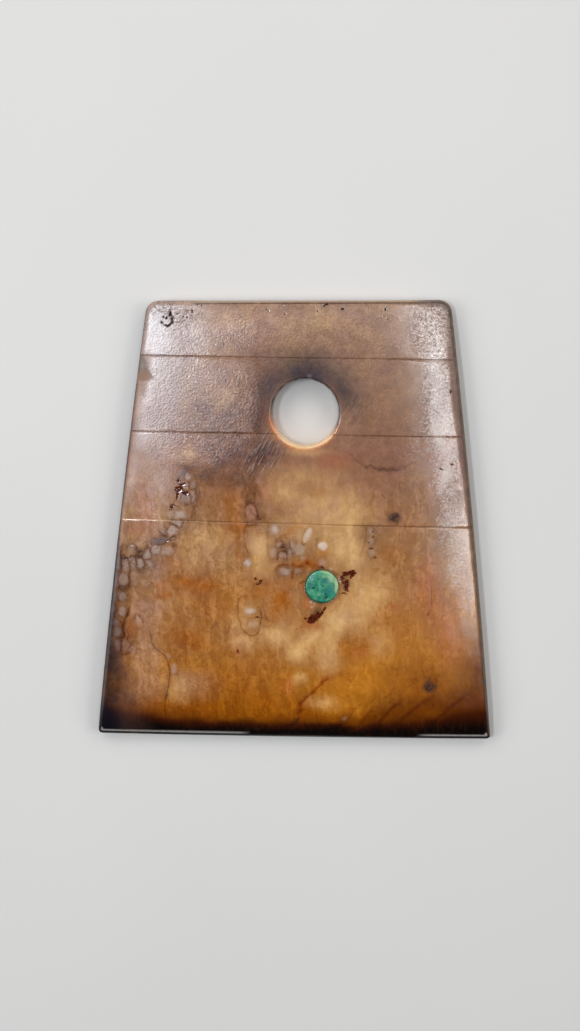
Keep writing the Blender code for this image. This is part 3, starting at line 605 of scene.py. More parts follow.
# Broader rust-coloured seams: (strength, half width, points).
SEAMS = (
    (0.8, 0.36, ((-5.3, -13.4), (-4.5, -12.2), (-3.2, -11.9), (-1.9, -12))),
    (0.75, 0.34, ((-0.5, -11.8), (-0.4, -13.3), (-0.6, -15.4))),
    (0.85, 0.42, ((-0.5, -12), (0.9, -12.4), (2.4, -12.1), (3.8, -11.4))),
    (0.6, 0.6, ((3.4, -11), (5.2, -12.2), (6.6, -12.4))),
    (0.6, 0.4, ((-13.4, -0.9), (-12.4, -1), (-10.8, -0.6))),
    (0.45, 0.6, ((-35, -4.9), (-34.2, -6.4), (-34.1, -8.6), (-35.2, -9.8))),
    (0.5, 0.4, ((-28.8, 4.4), (-28.3, 2.6), (-29.2, 1))),
    (0.4, 0.4, ((-16.8, -0.6), (-15.6, -2.4), (-15.8, -4.6))),
    (0.45, 0.5, ((-31, -19.4), (-28.6, -17), (-26, -16.4))), (0.45, 0.5, ((-35.2, -21), (-34.7, -23.4))),
    (0.5, 0.3, ((-16.2, -36.2), (-15.8, -37.6))),
    (
        0.8, 0.45,
        ((9.6, -44.6), (8.2, -46), (6.4, -47.8), (4.4, -49.8), (2.4, -51.4), (1.6, -53), (1.4, -55)),
    ),
    (0.35, 0.8, ((9.6, -44.8), (13, -43.4), (17, -43.6))),
    (0.6, 0.5, ((31, -50.6), (28.6, -52.6), (26.4, -55.2), (24.6, -57.6))),
    (0.55, 0.5, ((40, -49.6), (37, -51.4), (34.2, -53.6), (31, -56.6))),
    (0.5, 0.5, ((50, -49), (46, -52), (42, -55.4), (39.6, -58))),
    (0.45, 0.5, ((23, -52.8), (21, -55.6), (19.4, -58.4))),
    (0.4, 0.45, ((17.6, -53.6), (16, -56), (15, -58))),
    (0.4, 0.5, ((-24.4, -19), (-24.8, -22.6), (-24.4, -26.4), (-25, -30))),
    (0.35, 0.45, ((-19.6, -24), (-20, -28), (-19.4, -32))),
    (0.35, 0.5, ((-31, -33), (-31.6, -37), (-31, -41))),
)

# Dark-red pits: (depth, corners). They are sunk by this share of their depth alone.
PIT_SHARE = 0.08
PITS = (
    (
        0.5,
        (
            (13.7, -14.9), (14, -14), (15.2, -13.9), (16.9, -13.2), (17.4, -14.1), (16.6, -14.9),
            (15.6, -14.4), (14.5, -14.9),
        ),
    ),
    (0.3, ((16.2, -14.7), (16.9, -14.9), (16.1, -15.7), (15.8, -15.5))),
    (0.4, ((13.1, -15.3), (13.7, -14.9), (14.1, -15.8), (13.4, -16.2))), (0.3, oval(14, -16.9, 0.35, 0.25)),
    (0.4, ((14.6, -16.3), (15.3, -16.2), (15.4, -17.8), (14.9, -18.1), (14.6, -17.4))),
    (0.45, ((14.2, -18), (15.1, -18.4), (15.5, -19.4), (14.9, -19.2), (14.2, -18.8))),
    (0.15, oval(14.2, -20, 0.8, 0.2, -10)),
    (0.5, ((3.9, -28.3), (4.5, -26.8), (5.1, -26.3), (5.9, -26.9), (7, -26.4), (6.5, -27.8), (5.2, -28.7))),
    (0.4, ((6, -26.5), (6.6, -25.5), (7.1, -25.9), (6.9, -26.8))),
    (0.3, ((7, -26.5), (8.8, -24), (9.1, -24.2), (7.8, -26.4), (7, -27.4))),
    (0.2, oval(3.3, -27.4, 0.35, 0.25)),
    (0.6, ((-33.9, 9), (-33.6, 9.9), (-32.4, 10), (-31.6, 9.4), (-31.9, 8.6), (-33, 8.2))),
    (0.5, ((-32.5, 10.5), (-31.2, 11.1), (-30.9, 10.6), (-32.2, 10))),
    (0.5, ((-31.9, 8.4), (-30.9, 8.6), (-29.9, 8.3), (-30.4, 7.4), (-31.6, 7.7))),
    (0.3, ((-33.4, 8.1), (-32.9, 8.1), (-33.2, 6.2), (-33.6, 6.6))),
    (0.25, ((-33.6, 11.6), (-32.6, 12.3), (-32.3, 11.4), (-33, 10.8))),
    (0.2, ((-35.2, 4.5), (-34.2, 5.1), (-34, 4.6), (-35, 4.1))), (0.15, oval(-34.9, 3.7, 0.25, 0.5)),
    (0.25, oval(-11, -16.1, 0.5, 0.28, -30)), (0.25, oval(-9.5, -16.8, 0.45, 0.3, 30)),
    (0.15, oval(-10.3, -17.6, 0.5, 0.25)), (0.15, oval(-10.4, -27.2, 0.4, 0.25)),
    (0.12, oval(-16, -37.3, 0.35, 0.45)), (0.25, oval(7.9, -12.6, 0.5, 0.25)),
    (0.15, oval(2.3, -16.9, 0.7, 0.2, 15)), (0.15, oval(22.1, -2.1, 0.3, 0.3)),
    (0.15, oval(22.2, -3.7, 0.35, 0.2)), (0.15, oval(21.7, -7.1, 0.6, 0.2)),
    (0.1, oval(22.8, -9.6, 0.3, 0.25)), (0.1, oval(21, -5.4, 0.25, 0.2)),
)

# Crumbled pits in the pale corner, and specks along the butt, painted black as the shade in their hollows.
CRUMBS = (
    (0.5, ((-35.5, 58.9), (-35.1, 59), (-34.8, 58), (-35.6, 57.8))),
    (0.6, ((-35.1, 57.3), (-34.5, 57.3), (-34.5, 55.9), (-35.2, 55.8), (-34.9, 56.6))),
    (0.4, ((-35.2, 55.9), (-35, 55.5), (-35.9, 54.8), (-37, 55.2), (-36.6, 55.5), (-36, 55.3))),
    (0.4, oval(-36.3, 57.4, 0.36, 0.26, 30)), (0.3, oval(-37.2, 57.6, 0.22, 0.3)),
    (0.4, oval(-37.6, 56.1, 0.4, 0.22, -30)), (0.2, oval(-35.3, 59.3, 0.2, 0.2)),
    (0.2, oval(-34.5, 57.7, 0.25, 0.2)), (0.2, oval(-33.3, 58.5, 0.22, 0.16)),
    (0.15, oval(-29, 59.3, 0.25, 0.5)), (0.12, oval(-30.3, 59.2, 0.3, 0.2)),
    (0.12, oval(-30.5, 57.6, 0.25, 0.22)), (0.12, oval(-31.6, 57.6, 0.16, 0.5)),
    (0.1, oval(-29.4, 61.1, 0.3, 0.2)), (0.1, oval(-27.6, 61.2, 0.6, 0.2)),
    (0.1, oval(-26.4, 61.1, 0.2, 0.3)), (0.1, oval(-22.8, 50, 0.35, 0.2, 30)),
    (0.1, oval(-20, 50.2, 0.25, 0.2)), (0.2, oval(13, 60.2, 0.6, 0.3, 10)),
    (0.2, oval(25, 60.2, 0.3, 0.45)), (0.12, oval(-2.2, 59.6, 0.22, 0.3)),
    (0.12, oval(-3, 58.8, 0.2, 0.25)), (0.12, oval(-2, 61.1, 0.22, 0.2)),
    (0.12, oval(-3.6, 61.1, 0.2, 0.2)), (0.12, oval(8.2, 61.3, 0.8, 0.3, 20)),
    (0.12, oval(6, 59.8, 0.2, 0.35)), (0.1, oval(-8.1, 60, 0.3, 0.2)), (0.1, oval(-7.5, 59.6, 0.2, 0.2)),
    (0.1, oval(25.4, 57.6, 0.3, 0.16)), (0.1, oval(23.6, 57.8, 0.2, 0.16)),
    (0.1, oval(24.5, 58.2, 0.16, 0.2)), (0.1, oval(41, 15.6, 0.7, 0.22, -10)),
    (0.1, oval(44, 16.9, 0.5, 0.25)), (0.1, oval(43.5, 37.4, 0.3, 0.6)),
)

# Soft dark smudges about the pits: as the washes.
SMUDGES = (
    (38.8, -47, 2.4, 1.8, 0, 1), (38.6, -45.4, 1, 1.6, 0, 0.6), (28.3, 1.8, 2.2, 1.8, 0, 0.9),
    (27.6, 1.3, 0.7, 0.6, 0, 0.9), (28.6, 2.5, 0.6, 0.4, 20, 0.9), (29.8, 3.1, 0.5, 0.3, 40, 0.6),
    (38.6, -47.3, 0.9, 0.5, 10, 0.95), (40.5, -46.7, 0.5, 0.4, 0, 0.8), (13.6, -15.8, 1.1, 0.9, 0, 0.6),
    (14.6, -17.6, 0.9, 1.8, 0, 0.35), (6.2, -26.4, 2.8, 1.3, 48, 0.8), (15.6, -14.4, 2.4, 1, 15, 0.4),
    (-43.9, -8.8, 1.3, 0.9, 0, 0.55), (-47.7, -26.6, 0.7, 1.8, -20, 0.5), (-49, -31.6, 0.7, 2.8, 0, 0.45),
    (-32.4, 9.4, 1.9, 1.6, 0, 0.5), (-30.7, 8, 1, 0.8, 0, 0.3), (-33, 12, 0.8, 0.9, 0, 0.5),
    (0.6, -58.2, 1.6, 2.2, -30, 0.6), (14.2, -57.9, 1.6, 0.9, 0, 0.4), (-36.6, -49.6, 0.8, 3, 8, 0.3),
    (-46.8, -53.6, 1.8, 1.2, 0, 0.4), (25.6, 15.6, 4, 0.9, 0, 0.3), (-3.1, -6.9, 1, 0.8, 0, 0.4),
    (7.8, -12.7, 1, 0.6, 0, 0.45),
)

# The flake scar at the left side: the corners of its two facets.
SCAR = (
    (-42.1, 43.4), (-41.2, 42), (-40.1, 40.4), (-41.4, 40.1), (-42.6, 39.7), (-45.6, 39.4), (-45.4, 41.6),
    (-43.7, 41.8),
)
SCAR_ABOVE = (
    (-42.8, 47), (-42.3, 45.6), (-41.9, 44), (-42.1, 43.3), (-43.8, 41.8), (-45.4, 41.4), (-44.6, 47),
)


def warped(x, y, size, reach, seed):
    """The same places, pushed about by noise."""
    return x + reach * layered(x, y, size, seed), y + reach * layered(x, y, size, seed + 7)


def close_by(x, y, points, reach):
    """The numbers of the places in the box that lies this far round the points."""
    low = np.min(points, axis=0) - reach
    high = np.max(points, axis=0) + reach
    return np.nonzero((x > low[0]) & (x < high[0]) & (y > low[1]) & (y < high[1]))[0]


def shape_distance(x, y, corners, reach=1.5):
    """Distance to a closed shape's outline, negative inside it; past reach only some number above it."""
    found = np.full_like(x, reach * 2)
    near = close_by(x, y, corners, reach)
    if len(near) == 0:
        return found
    px = x[near]
    py = y[near]
    loop = list(corners) + [corners[0]]
    odd = np.zeros(len(near), bool)
    for (x0, y0), (x1, y1) in zip(loop, loop[1:]):
        if y0 != y1:
            odd ^= ((y0 > py) != (y1 > py)) & (px < (x1 - x0) * (py - y0) / (y1 - y0) + x0)
    away = path_distance(px, py, loop)
    found[near] = np.where(odd, -away, away)
    return found


def line_distance(x, y, path, reach=1.5):
    """Distance to an open line; past reach only some number above it."""
    found = np.full_like(x, reach * 2)
    near = close_by(x, y, path, reach)
    if len(near):
        found[near] = path_distance(x[near], y[near], path)
    return found


def small_features(x, y):
    """Distance to the nearest small feature, and to the nearest one that needs the finest mesh."""
    middling = np.full_like(x, 9.0)
    finest = np.full_like(x, 9.0)
    for feature in CELLS + WHITES_AND_GLINTS:
        middling = np.minimum(middling, np.abs(shape_distance(x, y, feature[-1])))
    for feature in PITS + CRUMBS + WHITES_AND_GLINTS:
        finest = np.minimum(finest, np.maximum(shape_distance(x, y, feature[-1]), 0.0))
    for strength, _, path in VEINS + SEAMS:
        away = line_distance(x, y, path)
        if strength > 0.55:
            finest = np.minimum(finest, away)
        middling = np.minimum(middling, away)
    return np.minimum(middling, finest), finest


def pit_depth(x, y):
    """How far the pits are sunk below the front."""
    px, py = warped(x, y, 0.7, 0.16, 21)
    depth = np.zeros_like(x)
    floor = 0.75 + 0.5 * noise(x, y, 0.35, 23)
    for deep, corners in [(PIT_SHARE * deep, corners) for deep, corners in PITS] + list(CRUMBS):
        depth = np.maximum(depth, deep * floor * smooth(0.12, -0.3, shape_distance(px, py, corners)))
    return depth


def relief(x, y):
    """What the front's small forms add to the smooth form."""
    height = 0.03 * layered(x, y, 11.0, 1) + 0.005 * layered(x, y, 2.2, 4)
    px, py = warped(x, y, 1.2, 0.26, 31)
    for feature in CELLS + WHITES_AND_GLINTS[:2]:
        away = shape_distance(px, py, feature[-1])
        height += 0.007 * smooth(0.1, -0.7, away) - 0.008 * smooth(0.3, 0.0, np.abs(away))
    for strength, width, path in VEINS:
        height -= 0.012 * strength * smooth(width * 1.8, width * 0.3, line_distance(px, py, path))
    height -= pit_depth(x, y)
    for seed, ends in enumerate(LINES, 60):
        wander = 0.03 * noise(x, y, 7.0, seed)
        off = (y - line_y(ends, x) - wander) / LINE_HALF_WIDTH
        faint = 1 - 0.93 * smooth(-34, -38, x) * (y < 10)
        deep = LINE_DEPTH * (0.85 + 0.15 * noise(x, y, 4.0, seed + 5)) * faint
        height -= deep * np.sqrt(np.maximum(0.0, 1 - off**2))
    px, py = warped(x, y, 1.5, 0.12, 41)
    height -= 0.1 * smooth(0.1, -0.7, shape_distance(px, py, SCAR, 3.0))
    height -= 0.14 * smooth(0.1, -0.9, shape_distance(px, py, SCAR_ABOVE, 3.0))
    return height

# The blade's mesh.


def circle(count):
    """Even places round a circle of radius 1."""
    around = np.linspace(0.0, 2 * math.pi, count, endpoint=False)
    return np.stack([np.cos(around), np.sin(around)], -1)


def round_loop(centre, radius, level, count):
    """Points round a centre. The radius and the level are one number each, or one for each point."""
    spots = circle(count)
    x = centre[0] + radius * spots[:, 0]
    y = centre[1] + radius * spots[:, 1]
    return np.stack([x, y, np.full(count, level)], -1)


def rounding_steps(count):
    """How far in the steps of a quarter round lie, as shares of its radius, without its start."""
    return [1 - math.cos(turn) for turn in np.linspace(0.0, math.pi / 2, count)[1:]]


def from_hole(x, y):
    return np.hypot(x - HOLE[0], y - HOLE[1])


def from_seat(x, y):
    return np.hypot(x - SEAT[0], y - SEAT[1])


def well_inside(grid, clearance):
    """The places of a grid that lie at least EDGE_CLEARANCE in, and as far as clearance from the outline."""
    x, y = grid[:, 0], grid[:, 1]
    within = np.abs(x - axis_x(y)) < half_width(y) - EDGE_CLEARANCE
    grid = grid[within & (np.abs(y) < BUTT_Y - EDGE_CLEARANCE)]
    return grid[edge_distance(grid[:, 0], grid[:, 1]) > clearance]


def front_points():
    """Places for the front's vertices: rings along the edges, rows along the lines, and a grid that is finer
    at the small features."""
    loops = [
        OUTLINE,
        np.array(HOLE) + circle(HOLE_STEPS) * HOLE_MOUTH,
        np.array(SEAT) + circle(SEAT_STEPS) * SEAT_RADIUS,
    ]
    extras = []
    for share in rounding_steps(6):
        inset = OUTLINE + INWARD * min(share, INNERMOST)
        keep = [0]
        for index in range(1, len(inset)):
            if np.hypot(*(inset[index] - inset[keep[-1]])) > 0.3:
                keep.append(index)
        extras.append(inset[keep])
    for share in rounding_steps(5):
        extras.append(np.array(HOLE) + circle(HOLE_STEPS) * (HOLE_MOUTH + HOLE_RIM * share))
    for more in (0.05, SEAT_RIM, 0.3):
        extras.append(np.array(SEAT) + circle(SEAT_STEPS) * (SEAT_RADIUS + more))
    for ends in LINES:
        reach = float(half_width(line_y(ends, 0.0)))
        xs = np.arange(-reach + 1.2, reach - 1.0, 0.4)
        for off in (-0.34, -0.22, -0.15, -0.07, 0.0, 0.07, 0.15, 0.22, 0.34):
            extras.append(np.stack([xs, line_y(ends, xs) + off], -1))
    grid = []
    for index, y in enumerate(np.arange(EDGE_Y, BUTT_Y, FINEST * math.sqrt(3) / 2)):
        xs = np.arange(-EDGE_WIDTH / 2, EDGE_WIDTH / 2, FINEST)
        number = np.arange(len(xs))
        coarseness = np.zeros(len(xs))
        for step in (2, 4):
            if index % step == 0:
                coarseness += number % step == 0
        grid.append(np.stack([xs + FINEST * (index % 8) / 2, np.full_like(xs, y), coarseness], -1))
    grid = well_inside(np.concatenate(grid), EDGE_CLEARANCE)
    near, nearest = small_features(grid[:, 0], grid[:, 1])
    grid = grid[(grid[:, 2] > 1.5) | ((grid[:, 2] > 0.5) & (near < 0.7)) | (nearest < 0.32)]
    x, y = grid[:, 0], grid[:, 1]
    keep = from_hole(x, y) > HOLE_MOUTH + HOLE_RIM + 0.2
    keep &= from_seat(x, y) > SEAT_RADIUS + 0.45
    for ends in LINES:
        keep &= np.abs(y - line_y(ends, x)) > 0.5
    grid = grid[keep][:, :2]
    grid += np.random.default_rng(5).uniform(-0.02, 0.02, grid.shape)
    clear = []
    for extra in extras:
        x, y = extra[:, 0], extra[:, 1]
        clear.append(extra[(from_hole(x, y) > HOLE_MOUTH + 0.01) & (from_seat(x, y) > SEAT_RADIUS + 0.01)])
    return loops, np.concatenate(clear + [grid])


def back_points():
    loops = [OUTLINE, np.array(HOLE) + circle(HOLE_STEPS) * HOLE_MOUTH]
    extras = []
    for share in rounding_steps(4):
        extras.append(np.array(HOLE) + circle(HOLE_STEPS) * (HOLE_MOUTH + HOLE_RIM * share))
        extras.append((OUTLINE + INWARD * min(share, INNERMOST))[::2])
    xs, ys = np.meshgrid(np.arange(-57, 57, BACK_STEP), np.arange(EDGE_Y, BUTT_Y, BACK_STEP))
    grid = np.stack([xs.ravel(), ys.ravel()], -1)
    grid += np.random.default_rng(6).uniform(-0.2, 0.2, grid.shape)
    grid = well_inside(grid, BACK_STEP)
    clear = from_hole(grid[:, 0], grid[:, 1]) > HOLE_MOUTH + HOLE_RIM + 0.5
    return loops, np.concatenate(extras + [grid[clear]])


def triangles(loops, others, holes):
    """Triangles over the first loop's inside, with round holes left open: places and corner numbers."""
    places = [tuple(point) for loop in loops for point in loop]
    edges = []
    start = 0
    for loop in loops:
        count = len(loop)
        edges += [(start + k, start + (k + 1) % count) for k in range(count)]
        start += count
    places += [tuple(point) for point in others]
    verts, _, faces, _, _, _ = delaunay_2d_cdt([Vector(p) for p in places], edges, [], 1, 1e-5, False)
    flat = np.array([tuple(v) for v in verts])
    corners = np.array([face for face in faces if len(face) == 3])
    # Slivers along a straight edge, and inside a round hole's chords, are outside the shape.
    a, b, c = (flat[corners[:, k]] for k in range(3))
    keep = np.cross(b - a, c - a) > SLIVER
    middle = flat[corners].mean(1)
    for (x, y), radius in holes:
        keep &= np.hypot(middle[:, 0] - x, middle[:, 1] - y) > radius * CHORD
    return flat, corners[keep]


def band(loops):
    """Quads between loops of points that have the same count, going down."""
    count = len(loops[0])
    faces = []
    for row in range(len(loops) - 1):
        for k in range(count):
            after = (k + 1) % count
            upper = row * count
            lower = upper + count
            faces.append((upper + k, upper + after, lower + after, lower + k))
    return np.concatenate(loops), faces


def nibbled(x, y):
    """How far the hole's front rim is worn back from a true circle."""
    worn = 0.05 + 0.11 * layered(x, y, 1.3, 77)
    return np.maximum(0.0, worn) * (1 + smooth(-0.2, 0.7, (y - HOLE[1] - 0.6 * (x - HOLE[0])) / HOLE_MOUTH))


def front_part():
    flat, corners = triangles(*front_points(), ((HOLE, HOLE_MOUTH), (SEAT, SEAT_RADIUS)))
    x, y = flat[:, 0], flat[:, 1]
    edge = edge_distance(x, y)
    hole_far = from_hole(x, y)
    seat_far = from_seat(x, y)
    past_hole = smooth(HOLE_MOUTH, HOLE_MOUTH + HOLE_RIM, hole_far)
    past_seat = smooth(SEAT_RADIUS, SEAT_RADIUS + 0.25, seat_far)
    inner = smooth(0.0, 0.9, edge) * (past_hole * past_seat)
    z = solid_z(x, y, THICKNESS - rounding(edge, ARRIS_RADIUS))
    z -= rounding(hole_far - HOLE_MOUTH, HOLE_RIM) * (hole_far < HOLE_MOUTH + HOLE_RIM)
    z -= rounding(seat_far - SEAT_RADIUS, SEAT_RIM) * (seat_far < SEAT_RADIUS + SEAT_RIM)
    z += relief(x, y) * inner
    worn = nibbled(x, y) * smooth(HOLE_MOUTH + 1.2, HOLE_MOUTH, hole_far)
    x = x + worn * (x - HOLE[0]) / hole_far
    y = y + worn * (y - HOLE[1]) / hole_far
    return np.stack([x, y, z], -1), corners


def back_part():
    flat, corners = triangles(*back_points(), ((HOLE, HOLE_MOUTH),))
    x, y = flat[:, 0], flat[:, 1]
    z = solid_z(x, y, rounding(edge_distance(x, y), ARRIS_RADIUS))
    hole_far = from_hole(x, y)
    z += rounding(hole_far - HOLE_MOUTH, HOLE_RIM) * (hole_far < HOLE_MOUTH + HOLE_RIM)
    return np.stack([x, y, z], -1), corners[:, ::-1]


def side_part():
    x, y = OUTLINE[:, 0], OUTLINE[:, 1]
    levels = np.linspace(THICKNESS - ARRIS_RADIUS, ARRIS_RADIUS, 8)
    loops = [np.stack([x, y, solid_z(x, y, level)], -1) for level in levels]
    along = np.arange(len(x)) * OUTLINE_STEP
    for loop, level in list(zip(loops, levels))[1:-1]:
        push = 0.03 + 0.03 * layered(along, np.full(len(x), level), 3.0, 71)
        loop[:, :2] += INWARD * push[:, None]
    return band(loops)


def hole_part():
    mouth = round_loop(HOLE, HOLE_MOUTH, 0.0, HOLE_STEPS)
    x, y = mouth[:, 0], mouth[:, 1]
    top = front_z(x, y) - HOLE_RIM
    loops = []
    for share in np.linspace(0.0, 1.0, 13):
        radius = HOLE_MOUTH + (HOLE_WAIST - HOLE_MOUTH) * (1 - abs(2 * share - 1))
        radius = radius + 0.03 * math.sin(share * 40) * (0 < share < 1)
        radius = radius + nibbled(x, y) * (1 - share) ** 2
        loops.append(round_loop(HOLE, radius, top * (1 - share) + HOLE_RIM * share, HOLE_STEPS)[::-1])
    return band(loops)


def seat_part():
    mouth = round_loop(SEAT, SEAT_RADIUS, 0.0, SEAT_STEPS)
    top = front_z(mouth[:, 0], mouth[:, 1]) - SEAT_RIM
    levels = [top * (1 - share) + SEAT_FLOOR * share for share in (0.0, 0.5, 1.0)]
    loops = [round_loop(SEAT, SEAT_RADIUS, level, SEAT_STEPS)[::-1] for level in levels]
    loops += [round_loop(SEAT, SEAT_RADIUS * share, SEAT_FLOOR, SEAT_STEPS)[::-1] for share in (0.66, 0.33)]
    verts, faces = band(loops)
    centre = len(verts)
    last = centre - SEAT_STEPS
    faces += [(last + k, last + (k + 1) % SEAT_STEPS, centre) for k in range(SEAT_STEPS)]
    return np.concatenate([verts, [(*SEAT, SEAT_FLOOR)]]), faces


def finished_mesh(name, verts, faces, merge_distance=0.0):
    """A smooth mesh in metres from millimetres, with its seams merged and its faces turned outward."""
    mesh = bpy.data.meshes.new(name)
    mesh.from_pydata((verts / 1000).tolist(), [], faces)
    shape = bmesh.new()
    shape.from_mesh(mesh)
    if merge_distance:
        bmesh.ops.remove_doubles(shape, verts=shape.verts, dist=merge_distance)
    bmesh.ops.recalc_face_normals(shape, faces=shape.faces)
    shape.to_mesh(mesh)
    shape.free()
    mesh.shade_smooth()
    return mesh


def blade_mesh():
    all_verts = []
    all_faces = []
    start = 0
    for verts, faces in (front_part(), back_part(), side_part(), hole_part(), seat_part()):
        all_verts.append(verts)
        all_faces += [tuple(start + int(k) for k in face) for face in faces]
        start += len(verts)
    return finished_mesh("jade_blade_skin", np.concatenate(all_verts), all_faces, MERGE_DISTANCE)


# The blade's masks.


def paint(mask, weight):
    """More of a mask, without passing 1."""
    return 1 - (1 - mask) * (1 - np.clip(weight, 0.0, 1.0))


# Where the painted shade towards the cutting edge starts along X; how far in the dark left edge, partly dark
# stone and partly painted shade, reaches along Y; and the painted shade at the right.
EDGE_SHADE_STARTS = (
    (-57, -45, -30, -12, 6, 18, 30, 42, 57),
    (-45, -49.5, -53.5, -53.5, -54.5, -55, -51.5, -49, -43),
)
LEFT_DARK_REACH = ((-62, -55, -50, -45, -40, -34, -20, 0, 62), (18, 16.5, 14.5, 12, 8, 4.8, 2.5, 1.2, 0.9))
SHADE_REACH = ((-30, -8, 15, 35, 48, 58), (0.9, 1.2, 1.8, 2.6, 2.3, 1.5))

ON_THE_FRONT = (
    "cobble", "speckle", "halo", "smudge", "pale", "grey", "blush", "white", "vein", "seam", "pit", "crumb",
    "line", "line_highlight", "scar", "scar_above",
)


def masks(x, y, z):
    """How much of each tone the stone has, and of each painted light and shade, at these places."""
    found = {}
    front = smooth(-0.6, 0.2, z - solid_z(x, y, THICKNESS - 1.6))
    wx, wy = warped(x, y, 7.0, 1.5, 101)
    for name, ovals in WASHES.items():
        mask = np.zeros_like(x)
        for wash in ovals:
            mask = paint(mask, wash[5] * smooth(1.4, 0.1, oval_distance(wx, wy, wash)))
        found[name] = mask
    px, py = warped(x, y, 0.9, 0.35, 111)
    smudge = np.zeros_like(x)
    for wash in SMUDGES:
        smudge = paint(smudge, wash[5] * smooth(1.3, 0.2, oval_distance(px, py, wash)))

    cx, cy = warped(x, y, 1.2, 0.26, 31)
    pale = np.zeros_like(x)
    grey = np.zeros_like(x)
    blush = np.zeros_like(x)
    vein = np.zeros_like(x)
    halo = np.zeros_like(x)
    uneven = 0.4 + 1.1 * noise(x, y, 1.1, 49)
    for light, dark, red, ring, corners in CELLS:
        away = shape_distance(cx, cy, corners)
        body = smooth(0.4, -0.8, away)
        pale = pale * (1 - body) + light * body
        grey = grey * (1 - body) + dark * body
        blush = blush * (1 - body) + red * body
        vein = paint(vein, 1.0 * ring * uneven * smooth(0.34, 0.0, np.abs(away - 0.04)))
        halo = np.maximum(halo, (0.15 + 0.4 * ring) * smooth(2.4, 0.0, away))
    white = np.zeros_like(x)
    for strength, corners in WHITES_AND_GLINTS:
        white = paint(white, strength * smooth(0.3, -0.5, shape_distance(cx, cy, corners)))
    for strength, width, path in VEINS:
        near = line_distance(cx, cy, path) / (width * (0.85 + 0.5 * noise(x, y, 1.3, 47)))
        vein = paint(vein, strength * (0.75 * smooth(1.5, 0.2, near) + 0.25 * smooth(3.4, 0.3, near)))
    seam = np.zeros_like(x)
    for strength, width, path in SEAMS:
        seam = paint(seam, strength * smooth(2.0, 0.2, line_distance(cx, cy, path) / width))
    px, py = warped(x, y, 0.7, 0.16, 21)
    pit = np.zeros_like(x)
    for deep, corners in PITS:
        pit = paint(pit, smooth(0.7, -0.3, shape_distance(px, py, corners)) * min(1.0, 0.6 + deep))
    crumb = np.zeros_like(x)
    for deep, corners in CRUMBS:
        crumb = paint(crumb, smooth(0.4, -0.2, shape_distance(px, py, corners)) * min(1.0, 0.6 + deep))
    found.update(pale=pale, grey=grey, blush=blush, white=white, vein=vein, seam=seam, pit=pit, crumb=crumb)
    found["smudge"] = smudge
    found["halo"] = halo

    strengths = (
        0.55 + 0.25 * smooth(-20, -34, x) + 0.2 * smooth(20, 34, x),
        0.35 + 0.35 * smooth(12, 24, x) + 0.15 * smooth(-10, -20, x),
        0.35 + 0.45 * smooth(12, 26, x),
    )
    line = np.zeros_like(x)
    for seed, ends in enumerate(LINES, 60):
        off = np.abs(y - line_y(ends, x) - 0.03 * noise(x, y, 7.0, seed))
        strength = strengths[seed - 60] * (0.85 + 0.3 * noise(x, y, 3.5, seed + 20))
        line = paint(line, strength * smooth(0.24, 0.06, off))
    highlight = smooth(-34.5, -37.0, x) * (y < 10)
    found["line"] = line * (1 - highlight)
    # Painted highlight: the third scribed line shown pale where its groove catches the light, at the far left
    # and on a stretch at the right.
    lit = smooth(-34.0, -37.0, x) + 0.6 * smooth(36, 39, x) * smooth(47, 44, x)
    found["line_highlight"] = 0.65 * lit * smooth(0.18, 0.04, np.abs(y - line_y(LINES[2], x) + 0.1 * (x > 0)))
    sx, sy = warped(x, y, 1.5, 0.12, 41)
    scar = smooth(0.15, -0.15, shape_distance(sx, sy, SCAR, 3.0))
    above = smooth(0.15, -0.15, shape_distance(sx, sy, SCAR_ABOVE, 3.0))
    found["scar"] = scar
    found["scar_above"] = above
    vein = paint(vein, 0.6 * smooth(0.3, 0.05, np.abs(shape_distance(sx, sy, SCAR, 3.0))) * (x > -43.5))
    found["vein"] = vein
    scarred = np.maximum(scar, above)
    found["painted_sheen"] = found["painted_sheen"] * (1 - scarred) * front
    corner = smooth(1.3, 0.5, oval_distance(wx, wy, (-40.0, 55.0, 6.0, 11.0, 0.0)))
    found["leather"] = found["leather"] * (1 - 0.7 * scarred) * (1 - 0.25 * corner) * front
    lower_left = smooth(1.2, 0.5, oval_distance(wx, wy, (-9.0, 19.5, 6.5, 8.5, -20.0)))
    right = 0.45 * smooth(1.2, 0.5, oval_distance(wx, wy, (16.0, 30.0, 4.5, 9.0, -20.0)))
    left = 0.35 * smooth(1.2, 0.5, oval_distance(wx, wy, (-20.0, 24.0, 10.0, 9.0, 0.0)))
    found["scratch"] = np.maximum(lower_left, np.maximum(right, left)) * front
    pale_here = np.maximum(found["pale"], found["white"])
    smoother = 0.85 * smooth(1.3, 0.6, oval_distance(wx, wy, (8.0, -10.0, 22.0, 32.0, 0.0)))
    lower = 0.7 * smooth(1.3, 0.5, oval_distance(wx, wy, (28.0, -42.0, 26.0, 18.0, 0.0)))
    smoother = np.maximum(smoother, lower)
    found["skin"] = (1 - smoother) * (0.32 + 0.33 * smooth(0, 25, y) + 0.35 * smooth(34, 50, y))
    calm = (1 - 0.9 * found["cream"]) * (1 - 0.7 * pale_here) * (1 - 0.4 * smoother)
    found["fibre"] = smooth(22, 6, y) * smooth(0.0, 6.0, y + 61) * calm
    for name in ON_THE_FRONT:
        found[name] = found[name] * front

